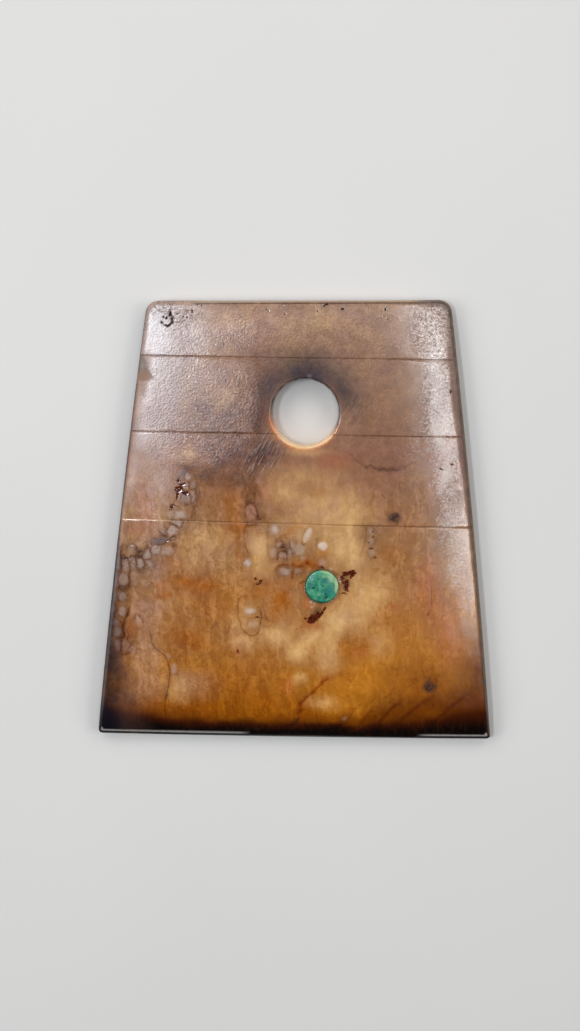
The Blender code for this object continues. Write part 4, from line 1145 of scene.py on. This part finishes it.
    edge = edge_distance(x, y)
    hole_far = from_hole(x, y)
    seat_far = from_seat(x, y)
    rough = layered(x, y, 6.0, 81)
    starts = np.interp(x, *EDGE_SHADE_STARTS)
    # Painted shade: the stone darkens to near black towards the cutting edge, where the bevel turns away from
    # the light.
    found["edge_shade"] = smooth(0.0, 1.0, (starts + 1.2 * rough - y) / (starts + 61.4))
    left_edge = x - axis_x(y) + half_width(y)
    reach = np.interp(y, *LEFT_DARK_REACH)
    # Darker towards the left edge, widest at the lower corner: partly dark stone, partly painted shade.
    found["left_dark_and_shade"] = 0.9 * smooth(1.0, 0.0, left_edge / (reach * (1 + 0.25 * rough)) + 0.04)
    right = smooth(0.0, 8.0, x - 30) * smooth(-62.0, -60.0, y)
    high = smooth(0.0, 2.0, y - 59) * smooth(-30, -27, x)
    rim = np.maximum(right, high)
    # Painted shade: a dark line just inside the rounded rim at the right and along the butt, wider towards
    # the right edge; a painted highlight on the rim itself.
    found["rim_shade"] = 0.9 * rim * smooth(0.3, 0.1, np.abs(edge - 0.66))
    found["rim_shade"] = paint(found["rim_shade"], 0.5 * right * smooth(1.7, 0.5, edge))
    found["rim_highlight"] = rim * smooth(0.5, 0.25, edge)
    # Painted highlight: a thin pale line on the rounded cutting edge towards both ends.
    ends = np.maximum(smooth(-12, -16, x), smooth(35, 39, x))
    found["edge_highlight"] = 0.7 * ends * smooth(0.16, 0.04, np.abs(edge - 1.0 - 0.04 * rough)) * (y < -60.6)
    lower = smooth(0.1, -0.7, (y - HOLE[1] + 0.2 * (x - HOLE[0])) / np.maximum(hole_far, 0.1))
    near = hole_far - HOLE_MOUTH
    found["glow"] = lower * (0.7 * smooth(2.6, 0.2, near) ** 2 + 0.3 * smooth(0.8, 0.2, near))
    below = smooth(-0.2, -0.85, (y - HOLE[1]) / np.maximum(hole_far, 0.1))
    found["glow_core"] = below * smooth(0.9, 0.3, near)
    shade = np.interp(y, *SHADE_REACH)
    shade = smooth(0.4, -0.4, edge - shade - 0.35 * layered(x, y, 2.5, 83)) * smooth(0.0, 4.0, x - 33)
    found["rim_shade"] = paint(found["rim_shade"], 0.36 * shade)
    at_left = smooth(0.0, 4.0, -33 - x)
    worn = 0.45 * smooth(4.0, 0.5, edge) * smooth(0, 12, y) * smooth(48, 36, y) * at_left
    worn = np.maximum(worn, 0.6 * smooth(4.0, 2.0, edge) * smooth(33, 37, y) * smooth(49, 45, y) * at_left)
    found["dull"] = np.maximum(np.maximum(smooth(1.3, 0.5, edge) * smooth(-20, -30, x), worn), 0.8 * shade)
    # Painted shade round the upper side of the hole's rim.
    found["hole_rim_shade"] = (1 - lower) * smooth(0.7, 0.2, near)
    left_of_seat = smooth(3.5, -1.0, x - SEAT[0])
    # A dark ring at the disc's joint, with painted shade added towards its left side.
    found["seat"] = (0.2 + 0.5 * left_of_seat) * smooth(0.2, 0.0, seat_far - SEAT_RADIUS) * (z > 2)
    found["seat_shade"] = 0.6 * smooth(1.3, 0.0, seat_far - SEAT_RADIUS) * (z > 2)
    return found


MASKS = (
    "brown", "amber", "gold", "cream", "milk", "rose", "violet", "slate", "deep", "painted_sheen", "leather",
    "cobble", "speckle", "halo", "dull", "pale", "grey", "blush", "white", "vein", "seam", "pit", "crumb",
    "smudge", "line", "line_highlight", "scar", "scar_above", "scratch", "fibre", "skin", "edge_shade", "left_dark_and_shade",
    "rim_shade", "rim_highlight", "edge_highlight", "glow", "glow_core", "hole_rim_shade", "seat", "seat_shade",
)


def add_layers(mesh, found, names):
    for name in names:
        layer = mesh.attributes.new(name, "FLOAT", "POINT")
        layer.data.foreach_set("value", np.clip(found[name], 0, 1).astype(np.float32))


def add_masks(mesh):
    places = np.empty(len(mesh.vertices) * 3, np.float32)
    mesh.vertices.foreach_get("co", places)
    x, y, z = places.reshape(-1, 3).astype(float).T * 1000
    add_layers(mesh, masks(x, y, z), MASKS)


# Node helpers.


def tone(red, green, blue):
    """A colour as a picture shows it, 0 to 255, made linear for the shader."""
    parts = []
    for value in (red, green, blue):
        value /= 255
        parts.append(value / 12.92 if value <= 0.04045 else ((value + 0.055) / 1.055) ** 2.4)
    return (*parts, 1.0)


class Nodes:
    """Short calls for making a node tree."""

    def __init__(self, name):
        self.material = bpy.data.materials.new(name)
        self.material.use_nodes = True
        self.tree = self.material.node_tree
        self.shader = self.tree.nodes["Principled BSDF"]

    def add(self, kind, inputs=None, **settings):
        node = self.tree.nodes.new(kind)
        for key, value in settings.items():
            setattr(node, key, value)
        for key, value in (inputs or {}).items():
            self.set(node.inputs[key], value)
        return node

    def set(self, socket, value):
        if isinstance(value, bpy.types.NodeSocket):
            self.tree.links.new(value, socket)
        else:
            socket.default_value = value

    def mask(self, name):
        return self.add("ShaderNodeAttribute", attribute_name=name).outputs["Fac"]

    def math(self, kind, a, b=0.0, clamp=False):
        node = self.add("ShaderNodeMath", operation=kind, use_clamp=clamp)
        self.set(node.inputs[0], a)
        self.set(node.inputs[1], b)
        return node.outputs[0]

    def times(self, a, b, clamp=False):
        return self.math("MULTIPLY", a, b, clamp)

    def plus(self, a, b):
        return self.math("ADD", a, b)

    def minus(self, a, b):
        return self.math("SUBTRACT", a, b)

    def mix(self, factor, a, b, kind="MIX"):
        node = self.add("ShaderNodeMix", data_type="RGBA", blend_type=kind)
        self.set(node.inputs[0], factor)
        self.set(node.inputs[6], a)
        self.set(node.inputs[7], b)
        return node.outputs[2]

    def noise(self, vector, scale, detail=3.0, rough=0.55, warp=0.0, colour=False):
        inputs = {"Vector": vector, "Scale": scale, "Detail": detail, "Roughness": rough, "Distortion": warp}
        return self.add("ShaderNodeTexNoise", inputs).outputs["Color" if colour else "Fac"]

    def spread(self, value, low, high, to_low=0.0, to_high=1.0):
        inputs = {"Value": value, "From Min": low, "From Max": high, "To Min": to_low, "To Max": to_high}
        return self.add("ShaderNodeMapRange", inputs, interpolation_type="SMOOTHSTEP").outputs["Result"]

    def stretched(self, vector, size, turn):
        """Places in a frame turned by this many degrees, in units of size along and across."""
        inputs = {"Vector": vector, "Scale": (*size, 1.0), "Rotation": (0.0, 0.0, math.radians(turn))}
        return self.add("ShaderNodeMapping", inputs, vector_type="TEXTURE").outputs["Vector"]

    def warped(self, vector, scale, reach, detail=2.0):
        cloud = self.noise(vector, scale, detail, colour=True)
        push = self.add("ShaderNodeVectorMath", {0: cloud}, operation="SUBTRACT")
        push.inputs[1].default_value = (0.5, 0.5, 0.5)
        far = self.add("ShaderNodeVectorMath", {0: push.outputs[0]}, operation="SCALE")
        far.inputs["Scale"].default_value = reach
        return self.add("ShaderNodeVectorMath", {0: vector, 1: far.outputs[0]}, operation="ADD").outputs[0]

    def ridge(self, value, width):
        """Thin lines where a noise crosses its middle."""
        away = self.math("ABSOLUTE", self.minus(value, 0.5))
        return self.spread(away, 0.0, width, 1.0, 0.0)

    def millimetres(self):
        own = self.add("ShaderNodeTexCoord").outputs["Object"]
        inputs = {"Vector": own, "Scale": (1000, 1000, 1000)}
        return self.add("ShaderNodeMapping", inputs).outputs["Vector"]


# Materials.

# The stone's own tone along its length: (Y, red, green, blue).
LENGTHWISE = (
    (-62.8, 120, 60, 8), (-57, 148, 82, 2), (-52, 150, 88, 14), (-44, 171, 113, 46), (-34, 172, 120, 68),
    (-20, 168, 121, 80), (-5, 163, 123, 88), (8, 156, 114, 84), (18, 147, 107, 86), (32, 146, 112, 93),
    (46, 152, 121, 102), (62, 163, 134, 116),
)

# Tones of the broad washes.
WASH_TONES = (
    ("brown", (118, 74, 48)), ("amber", (170, 98, 20)), ("gold", (206, 138, 44)),
    ("cream", (226, 184, 130)), ("milk", (184, 154, 136)), ("rose", (184, 104, 68)),
    ("violet", (84, 58, 56)), ("slate", (66, 60, 68)), ("deep", (84, 32, 0)),
)


def jade():
    """The stone: its tone along the length, broad washes, clouds and fibres, then the marks and the painted
    light and shade.
    """
    n = Nodes("jade")
    mm = n.millimetres()
    slow = n.warped(mm, 0.07, 14.0)
    swirl = n.warped(mm, 0.35, 2.6)
    haze = n.noise(mm, 0.1, 3.0, 0.5, 1.0)
    cloud = n.noise(mm, 0.22, 3.0, 0.5, 0.8)
    patch = n.noise(swirl, 0.5, 3.0, 0.5, 0.4)
    mottle = n.noise(mm, 1.5, 4.0, 0.65, 0.3)
    grain = n.noise(mm, 4.2, 3.0, 0.7)
    fibre = n.noise(n.stretched(n.warped(mm, 0.3, 2.0), (0.8, 5.0), 6.0), 1.0, 3.0, 0.55, 0.3)
    strand = n.noise(n.stretched(n.warped(mm, 0.2, 4.0), (2.4, 11.0), 5.0), 1.0, 3.0, 0.5, 0.5)
    marble = n.noise(swirl, 0.2, 4.0, 0.6, 0.4)
    web = n.noise(swirl, 0.55, 3.0, 0.6, 0.5)

    along = n.add("ShaderNodeSeparateXYZ", {0: slow}).outputs["Y"]
    place = n.math("DIVIDE", n.minus(along, EDGE_Y), LENGTH)
    ramp = n.add("ShaderNodeValToRGB", {"Fac": place})
    stops = ramp.color_ramp.elements
    while len(stops) < len(LENGTHWISE):
        stops.new(0.5)
    for stop, (y, red, green, blue) in zip(stops, LENGTHWISE):
        stop.position = (y - EDGE_Y) / LENGTH
        stop.color = tone(red, green, blue)
    colour = ramp.outputs["Color"]

    def tint(colour, amount, value, low, high, to_low, to_high):
        """Multiplied by one tint where a value is low and by another where it is high."""
        by = n.mix(n.spread(value, low, high), (*to_low, 1.0), (*to_high, 1.0))
        return n.mix(amount, colour, n.mix(1.0, colour, by, "MULTIPLY"))

    def layer(colour, name, over, break_up, low=0.35, high=0.65, to_low=0.6, to_high=1.1, kind="MIX"):
        amount = n.times(n.mask(name), n.spread(break_up, low, high, to_low, to_high), True)
        return n.mix(amount, colour, over, kind)

    for name, over in WASH_TONES:
        break_up, to_low = (cloud, 0.8) if name in ("cream", "milk", "deep", "slate") else (patch, 0.6)
        colour = layer(colour, name, tone(*over), break_up, 0.3, 0.7, to_low)

    # Clouds, fibres and mottling through all of it.
    grainy = n.mask("fibre")
    skin = n.mask("skin")
    uneven = n.spread(skin, 0.0, 0.8, 0.4, 0.9)
    colour = tint(colour, 1.0, haze, 0.34, 0.66, (0.95, 0.93, 0.98), (1.05, 1.05, 0.97))
    colour = tint(colour, uneven, cloud, 0.32, 0.66, (0.87, 0.84, 0.83), (1.1, 1.1, 1.08))
    colour = tint(colour, uneven, patch, 0.3, 0.68, (1.08, 1.08, 1.06), (0.9, 0.88, 0.86))
    colour = tint(colour, grainy, fibre, 0.34, 0.66, (1.06, 1.06, 1.06), (0.93, 0.89, 0.82))
    colour = tint(colour, grainy, strand, 0.34, 0.64, (1.1, 1.12, 1.2), (0.86, 0.78, 0.62))
    lines = n.times(n.ridge(marble, 0.03), n.spread(cloud, 0.42, 0.6))
    fine = n.times(n.ridge(web, 0.028), n.spread(patch, 0.46, 0.64))
    threads = n.times(n.ridge(strand, 0.02), n.spread(haze, 0.4, 0.6))
    lines = n.math("MAXIMUM", n.math("MAXIMUM", lines, fine), threads)
    lines = n.times(lines, n.spread(grainy, 0.0, 1.0, 0.2, 0.6))
    colour = n.mix(lines, colour, (0.55, 0.42, 0.34, 1.0), "MULTIPLY")
    colour = tint(colour, skin, mottle, 0.34, 0.64, (0.85, 0.82, 0.81), (1.11, 1.11, 1.11))
    colour = tint(colour, skin, grain, 0.32, 0.62, (0.87, 0.85, 0.85), (1.1, 1.1, 1.1))

    # Cells of paler stone, veined and cobbled, and the darker stone about them.
    colour = layer(colour, "halo", (0.55, 0.46, 0.48, 1.0), patch, kind="MULTIPLY")
    inputs = {"Vector": n.warped(mm, 1.2, 0.9), "Scale": 0.62}
    cobble = n.add("ShaderNodeTexVoronoi", inputs, feature="DISTANCE_TO_EDGE")
    cobble = n.spread(cobble.outputs["Distance"], 0.02, 0.16, 1.0, 0.0)
    cobble = n.times(n.times(cobble, n.mask("cobble")), n.spread(patch, 0.35, 0.6, 0.3, 1.0))
    colour = n.mix(cobble, colour, (0.42, 0.33, 0.32, 1.0), "MULTIPLY")
    colour = layer(colour, "blush", tone(176, 118, 92), mottle)
    colour = layer(colour, "grey", tone(96, 86, 94), mottle)
    colour = layer(colour, "pale", tone(184, 166, 156), mottle, 0.3, 0.62, 0.4, 0.85)
    colour = layer(colour, "smudge", tone(58, 36, 32), mottle, 0.35, 0.6, 0.5, 1.2)

    # Painted shade darkening towards the cutting edge, and the dark left edge and corner, partly dark stone
    # and partly painted shade.
    edge_shading = n.mask("edge_shade")
    edge_shade_tone = n.mix(n.spread(edge_shading, 0.1, 0.7), tone(124, 62, 6), tone(58, 18, 2))
    edge_shade_tone = n.mix(n.spread(edge_shading, 0.66, 1.0), edge_shade_tone, tone(6, 3, 3))
    amount = n.times(n.spread(edge_shading, 0.0, 0.8), n.spread(fibre, 0.3, 0.7, 0.94, 1.06), True)
    colour = n.mix(amount, colour, edge_shade_tone)
    # Dark left edge and corner: partly dark stone, partly painted shade.
    left_dark_tone = n.mix(n.spread(n.mask("left_dark_and_shade"), 0.25, 0.8), tone(84, 62, 56), tone(18, 18, 28))
    colour = layer(colour, "left_dark_and_shade", left_dark_tone, patch, 0.35, 0.65, 0.94, 1.06)
    colour = layer(colour, "seam", (0.6, 0.32, 0.1, 1.0), mottle, kind="MULTIPLY")
    colour = layer(colour, "vein", (0.34, 0.22, 0.18, 1.0), mottle, 0.35, 0.65, 0.6, 1.1, kind="MULTIPLY")
    # Nearly white spots, and painted glints beside the pits right of the disc.
    colour = layer(colour, "white", tone(226, 208, 194), mottle, 0.3, 0.62, 0.75, 1.0)

    # Painted sheen: a pale veil that stands for the lamps' reflection lies on the leathery skin at the left
    # and breaks into specks at the right.
    moved = n.add("ShaderNodeVectorMath", {0: mm, 1: (0.24, -0.24, 0.0)}, operation="ADD").outputs[0]
    leather = n.noise(n.stretched(mm, (0.42, 0.62), -35.0), 1.0, 2.5, 0.5, 0.7)
    beside = n.noise(n.stretched(moved, (0.42, 0.62), -35.0), 1.0, 2.5, 0.5, 0.7)
    # The difference of the two paints light and shade on the leathery relief, as if lit from the upper left.
    emboss_shading = n.minus(beside, leather)
    specks = n.noise(mm, 2.0, 2.0, 0.5, 0.9)
    side = n.spread(n.add("ShaderNodeSeparateXYZ", {0: mm}).outputs["X"], -5.0, 5.0)
    other = n.minus(1.0, side)
    pattern = n.plus(n.times(leather, other), n.times(specks, side))
    painted_sheen = n.mask("painted_sheen")
    left = n.times(other, n.times(painted_sheen, n.spread(emboss_shading, -0.14, 0.14, 0.05, 0.4)))
    value = n.plus(n.times(painted_sheen, 1.15), n.times(n.minus(specks, 0.5), 3.4))
    value = n.plus(value, n.times(n.minus(mottle, 0.5), 2.4))
    value = n.plus(value, n.times(n.minus(patch, 0.5), 1.4))
    right = n.plus(n.spread(value, 0.3, 1.15, 0.0, 0.4), n.spread(painted_sheen, 0.7, 1.0, 0.0, 0.3))
    right = n.times(n.times(side, right), n.spread(painted_sheen, 0.0, 0.35))
    # Painted reflection: a bluish-white veil at the left and a warm white one at the right.
    colour = n.mix(left, colour, tone(204, 206, 216))
    colour = n.mix(right, colour, tone(226, 212, 206))
    crackle = n.ridge(n.noise(mm, 1.0, 2.0, 0.6, 1.2), 0.06)
    dots = n.spread(n.noise(mm, 1.7, 3.0, 0.65, 0.6), 0.38, 0.47, 0.9, 0.0)
    speckle = n.mask("speckle")
    crackle = n.times(crackle, n.spread(speckle, 0.2, 0.9, 0.25, 0.9))
    marks = n.times(n.math("MAXIMUM", crackle, dots), n.spread(speckle, 0.0, 0.55))
    colour = n.mix(n.times(marks, 0.7), colour, tone(88, 70, 66))
    leathery = n.mask("leather")
    # Painted shade and highlight of the leathery relief: lighter on the flanks facing the upper left, darker
    # on the others.
    colour = tint(colour, leathery, emboss_shading, -0.14, 0.14, (0.66, 0.63, 0.66), (1.24, 1.23, 1.21))

    colour = layer(colour, "scar_above", tone(104, 90, 84), mottle)
    colour = layer(colour, "scar", tone(142, 112, 96), mottle, 0.35, 0.65, 0.85, 1.05)
    colour = layer(colour, "glow", tone(214, 122, 66), patch, 0.3, 0.7, 0.75, 1.1)
    colour = layer(colour, "glow_core", tone(250, 212, 160), patch, 0.3, 0.7, 0.75, 1.1)
    # Painted shade round the upper rim of the hole.
    colour = layer(colour, "hole_rim_shade", tone(40, 34, 38), patch, 0.3, 0.7, 0.6, 1.0)
    hatch = n.ridge(n.noise(n.stretched(n.warped(mm, 0.3, 0.6), (9.0, 0.5), 62.0), 1.0, 1.0, 0.5), 0.05)
    hatch = n.times(hatch, n.mask("scratch"))
    colour = n.mix(n.times(hatch, 0.34), colour, tone(206, 186, 176))
    crumbly = n.times(n.minus(n.noise(mm, 3.0, 3.0, 0.6), 0.5), 2.0)
    pit = n.spread(n.plus(n.mask("pit"), crumbly), 0.4, 0.72)
    pit = n.times(pit, n.spread(n.mask("pit"), 0.02, 0.25))
    red = n.mix(n.spread(grain, 0.42, 0.62), tone(40, 8, 2), tone(112, 42, 18))
    colour = n.mix(pit, colour, red)
    crumb = n.spread(n.plus(n.mask("crumb"), crumbly), 0.45, 0.62)
    crumb = n.times(crumb, n.spread(n.mask("crumb"), 0.02, 0.25))
    # Painted shade: the crumbled hollows painted black.
    colour = n.mix(crumb, colour, tone(6, 5, 5))
    colour = layer(colour, "line", (0.32, 0.22, 0.17, 1.0), patch, 0.3, 0.6, 0.8, 1.0, "MULTIPLY")
    # Painted highlight on the third scribed line.
    colour = layer(colour, "line_highlight", tone(232, 190, 146), patch, 0.3, 0.6, 0.6, 1.0)
    # Painted highlight on the rounded rim, and painted shade just inside it.
    colour = layer(colour, "rim_highlight", tone(170, 144, 120), patch, 0.3, 0.6, 0.7, 1.0)
    colour = layer(colour, "rim_shade", tone(34, 20, 14), patch, 0.3, 0.6, 0.8, 1.0)
    # Painted highlight along the cutting edge.
    colour = layer(colour, "edge_highlight", tone(206, 200, 196), patch, 0.3, 0.6, 0.8, 1.0)
    # A painted shadow ring round the seat, then the dark joint with painted shade heavier at its left.
    colour = layer(colour, "seat_shade", tone(96, 64, 44), patch, 0.3, 0.6, 0.6, 1.0)
    colour = layer(colour, "seat", tone(30, 34, 22), patch, 0.3, 0.6, 0.9, 1.0)
    n.set(n.shader.inputs["Base Color"], colour)

    quiet = n.minus(1.0, n.math("MAXIMUM", pit, crumb))
    rough = n.plus(n.times(n.spread(painted_sheen, 0.0, 0.8, 0.0, 0.08), other), 0.1)
    rough = n.plus(rough, n.spread(leathery, 0.0, 1.0, 0.0, 0.04))
    rough = n.plus(rough, n.spread(patch, 0.3, 0.7, 0.0, 0.04))
    rough = n.plus(rough, n.times(n.mask("dull"), 0.45))
    rough = n.plus(rough, n.times(n.mask("scar"), 0.4))
    rough = n.plus(rough, n.times(marks, 0.6))
    rough = n.plus(rough, n.times(pit, 0.1))
    rough = n.times(rough, n.spread(quiet, 0.0, 1.0, 0.4, 1.0))
    n.set(n.shader.inputs["Roughness"], rough)
    n.shader.inputs["IOR"].default_value = 1.6

    # Relief too fine for the mesh: the leathery skin and the pores.
    raised = n.times(n.spread(leathery, 0.4, 1.0, 0.08, 1.0), n.spread(painted_sheen, 0.1, 0.8, 1.0, 0.5))
    amount = n.times(n.plus(n.times(raised, other), n.times(painted_sheen, 0.12)), quiet)
    inputs = {"Strength": 1.0, "Distance": 0.00008, "Height": n.times(pattern, amount)}
    hide = n.add("ShaderNodeBump", inputs)
    pores = n.times(n.times(grain, quiet), n.spread(leathery, 0.0, 1.0, 0.15, 0.7))
    fine = n.add("ShaderNodeBump", {"Strength": 0.6, "Distance": 0.00002, "Height": pores})
    n.set(fine.inputs["Normal"], hide.outputs[0])
    n.set(n.shader.inputs["Normal"], fine.outputs[0])
    return n.material


def turquoise():
    n = Nodes("turquoise")
    mm = n.millimetres()
    swirl = n.warped(mm, 0.8, 1.0)
    cloud = n.noise(mm, 0.32, 4.0, 0.6, 0.5)
    patch = n.noise(swirl, 0.8, 4.0, 0.6, 0.5)
    fine = n.noise(mm, 2.6, 4.0, 0.65)
    colour = n.mix(n.spread(patch, 0.36, 0.64), tone(30, 116, 90), tone(76, 156, 122))
    colour = n.mix(n.spread(cloud, 0.5, 0.66, 0.0, 0.6), colour, tone(38, 128, 116))
    colour = n.mix(n.spread(fine, 0.56, 0.72, 0.0, 0.5), colour, tone(116, 176, 134))
    # Paler green patches, and a painted highlight along the disc's right rim.
    light = n.times(n.mask("lime_and_highlight"), n.spread(patch, 0.3, 0.7, 0.8, 1.1), True)
    colour = n.mix(light, colour, tone(160, 190, 138))
    blue = n.times(n.mask("blue"), n.spread(patch, 0.3, 0.7, 0.7, 1.1), True)
    colour = n.mix(blue, colour, tone(40, 116, 110))
    # Dark matrix specks, and painted shade along the disc's left rim.
    dark = n.times(n.mask("matrix"), n.spread(fine, 0.3, 0.6, 0.7, 1.1), True)
    colour = n.mix(dark, colour, tone(10, 54, 42))
    n.set(n.shader.inputs["Base Color"], colour)
    n.set(n.shader.inputs["Roughness"], n.spread(fine, 0.3, 0.7, 0.16, 0.3))
    bump = n.add("ShaderNodeBump", {"Strength": 0.35, "Distance": 0.00005, "Height": fine})
    n.set(n.shader.inputs["Normal"], bump.outputs[0])
    return n.material


def pale_floor():
    n = Nodes("pale_floor")
    cloud = n.noise(n.millimetres(), 0.01, 2.0)
    n.set(n.shader.inputs["Base Color"], n.mix(cloud, (0.68, 0.675, 0.665, 1.0), (0.72, 0.715, 0.705, 1.0)))
    n.shader.inputs["Roughness"].default_value = 0.7
    return n.material


# The turquoise disc.

DISC_RIM = 0.35


# Marks on the disc, as the washes. The lime marks along the right rim are a painted highlight, and the matrix
# marks along the left rim are painted shade.
DISC_MARKS = {
    "lime_and_highlight": (
        (12.1, -17.2, 0.7, 2.8, 0, 1), (10.6, -15.6, 1.6, 1.4, -40, 0.55), (9, -14, 2, 0.5, -18, 0.8),
        (12.1, -19.2, 0.5, 1.4, 15, 0.6), (8.4, -15.2, 0.9, 0.6, 0, 0.4), (6.9, -20.4, 0.6, 0.4, 0, 0.35),
    ),
    "blue": (
        (8.8, -16.4, 1.4, 1.1, 20, 0.8), (9.9, -19.2, 1.5, 1.4, 0, 0.9), (8.9, -20.6, 0.7, 1.6, 0, 0.6),
    ),
    "matrix": (
        (5.5, -18.5, 0.42, 0.36, 0, 0.95), (8.3, -17.8, 0.5, 0.25, -20, 0.75),
        (7.8, -17.4, 0.4, 0.2, 10, 0.5), (9.2, -21.3, 0.35, 0.6, -10, 1), (8.8, -20.3, 0.25, 0.6, 0, 0.6),
        (9, -15.7, 0.4, 0.25, 0, 0.4), (4.2, -17.4, 0.8, 1.4, 0, 0.4), (6.6, -22.3, 2.4, 0.4, -8, 0.45),
        (5.8, -19.2, 0.25, 0.2, 0, 0.4), (4, -20.6, 0.4, 1.4, 20, 0.3),
    ),
}


def disc_mesh():
    """The disc: a low dome with a worn rim and a slightly uneven outline."""
    spots = circle(DISC_STEPS)
    wobble = 0.03 * noise(4 * spots[:, 0], 4 * spots[:, 1], 1.0, 91) - 0.03
    profile = [(share, DISC_THICKNESS + DISC_DOME * (1 - share**2)) for share in np.linspace(0.04, 0.9, 22)]
    flat = profile[-1][1]
    for turn in np.linspace(0.0, math.pi / 2, 6)[1:]:
        profile.append((0.9 + (1 - 0.9) * math.sin(turn), flat - DISC_RIM * (1 - math.cos(turn))))
    profile += [(1.0, 1.0), (1.0, 0.1), (0.96, 0.0)]
    loops = []
    for share, level in profile:
        loop = round_loop(SEAT, (DISC_RADIUS + wobble) * share, DISC_BASE + level, DISC_STEPS)
        if level > 1.2:
            x, y = loop[:, 0], loop[:, 1]
            loop[:, 2] += (0.02 * layered(x, y, 1.6, 92) - 0.015) * smooth(1.0, 0.9, share)
            loop[:, 2] -= 0.12 * smooth(1.1, 0.3, oval_distance(x, y, (9.2, -21.3, 0.5, 0.8, 0.0)))
        loops.append(loop[::-1])
    verts, faces = band(loops)
    faces = [face[::-1] for face in faces]
    top = len(verts)
    last = top - DISC_STEPS
    for k in range(DISC_STEPS):
        faces.append((k, (k + 1) % DISC_STEPS, top))
    for k in range(DISC_STEPS):
        faces.append((last + (k + 1) % DISC_STEPS, last + k, top + 1))
    verts = np.concatenate([verts, [(*SEAT, loops[0][:, 2].mean()), (*SEAT, DISC_BASE)]])
    mesh = finished_mesh("turquoise_inlay_skin", verts, faces)
    x, y = verts[:, 0], verts[:, 1]
    wx, wy = warped(x, y, 1.2, 0.25, 94)
    found = {}
    for name, ovals in DISC_MARKS.items():
        found[name] = np.zeros_like(x)
        for mark in ovals:
            found[name] = paint(found[name], mark[5] * smooth(1.25, 0.4, oval_distance(wx, wy, mark)))
    add_layers(mesh, found, DISC_MARKS)
    return mesh


# Putting it together.


def add_piece(name, mesh, material, node):
    piece = bpy.data.objects.new(name, mesh)
    bpy.context.scene.collection.objects.link(piece)
    mesh.materials.append(material)
    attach(piece, "root")
    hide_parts(node)
    return piece


WARM = (1.0, 0.98, 0.955)
COOL = (0.86, 0.92, 1.0)

# Soft rectangles of light aimed at the blade's middle: name, place, width, height, watts, colour, and how far
# the height is turned from the blade's length, in degrees. The blade mirrors the last two lights.
LIGHTS = (
    ("left", (-1.05, 0.05, 0.85), 0.8, 0.8, 6.8, WARM, 0.0),
    ("right", (1.05, 0.05, 0.85), 0.8, 0.8, 5.6, WARM, 0.0),
    ("back_left", (-0.55, 0.95, 0.8), 0.8, 0.8, 5.5, WARM, 0.0),
    ("back_right", (0.6, 0.95, 0.8), 0.8, 0.8, 4.6, WARM, 0.0),
    ("right_strip", (0.206, 0.005, 1.0), 0.044, 0.44, 0.9, (0.93, 0.96, 1.0), 8.5),
    ("left_patch", (-0.312, 0.1, 1.0), 0.1, 0.3, 2.9, COOL, 0.0),
)


def add_light(name, place, width, height, watts, colour, turn):
    light = bpy.data.lights.new(name, "AREA")
    light.shape = "RECTANGLE"
    light.size = width
    light.size_y = height
    light.energy = watts
    light.color = colour
    lamp = bpy.data.objects.new(name, light)
    bpy.context.scene.collection.objects.link(lamp)
    forward = (-Vector(place)).normalized()
    right = forward.cross(Vector((0, 1, 0))).normalized()
    up = right.cross(forward)
    axes = Matrix((right, up, -forward)).transposed() @ Matrix.Rotation(math.radians(turn), 3, "Z")
    lamp.matrix_world = Matrix.Translation(place) @ axes.to_4x4()


# The photograph's height and the camera's focal length, both in the photograph's pixels.
PHOTO_HEIGHT = 1031
FOCAL_LENGTH = 1924
SENSOR_HEIGHT = 24.0


def add_camera():
    """Looks down on the lying blade from slightly beyond its butt, as the photograph does."""
    distance = 0.55
    to_right = math.radians(2.0)
    to_butt = math.radians(8.0)
    roll = math.radians(0.34)
    way = Vector(
        (
            math.sin(to_right) * math.cos(to_butt),
            math.sin(to_butt),
            math.cos(to_right) * math.cos(to_butt),
        )
    )
    place = way * distance
    forward = (Vector((-0.00154, 0.00124, 0.0)) - place).normalized()
    up = (Vector((0, 1, 0)) - forward * forward.y).normalized()
    right = forward.cross(up)
    turned_right = right * math.cos(roll) + up * math.sin(roll)
    turned_up = up * math.cos(roll) - right * math.sin(roll)
    data = bpy.data.cameras.new("camera")
    data.sensor_fit = "VERTICAL"
    data.sensor_height = SENSOR_HEIGHT
    data.lens = SENSOR_HEIGHT * FOCAL_LENGTH / PHOTO_HEIGHT
    data.clip_start = 0.01
    camera = bpy.data.objects.new("camera", data)
    bpy.context.scene.collection.objects.link(camera)
    axes = Matrix((turned_right, turned_up, -forward)).transposed().to_4x4()
    camera.matrix_world = Matrix.Translation(place) @ axes
    bpy.context.scene.camera = camera


def add_floor():
    mesh = bpy.data.meshes.new("floor")
    reach = 3.0
    corners = [(-reach, -reach, 0), (reach, -reach, 0), (reach, reach, 0), (-reach, reach, 0)]
    mesh.from_pydata(corners, [], [(0, 1, 2, 3)])
    floor = bpy.data.objects.new("floor", mesh)
    bpy.context.scene.collection.objects.link(floor)
    mesh.materials.append(pale_floor())


def add_lighting():
    world = bpy.data.worlds.new("studio")
    bpy.context.scene.world = world
    world.use_nodes = True
    background = world.node_tree.nodes["Background"]
    background.inputs["Color"].default_value = (1.0, 1.0, 1.0, 1.0)
    background.inputs["Strength"].default_value = 0.03
    for light in LIGHTS:
        add_light(*light)


add_camera()
add_floor()
add_lighting()
skin = blade_mesh()
add_masks(skin)
add_piece("jade_blade_skin", skin, jade(), "jade_blade")
add_piece("turquoise_inlay_skin", disc_mesh(), turquoise(), "turquoise_inlay")
bpy.context.scene.view_settings.view_transform = "Standard"
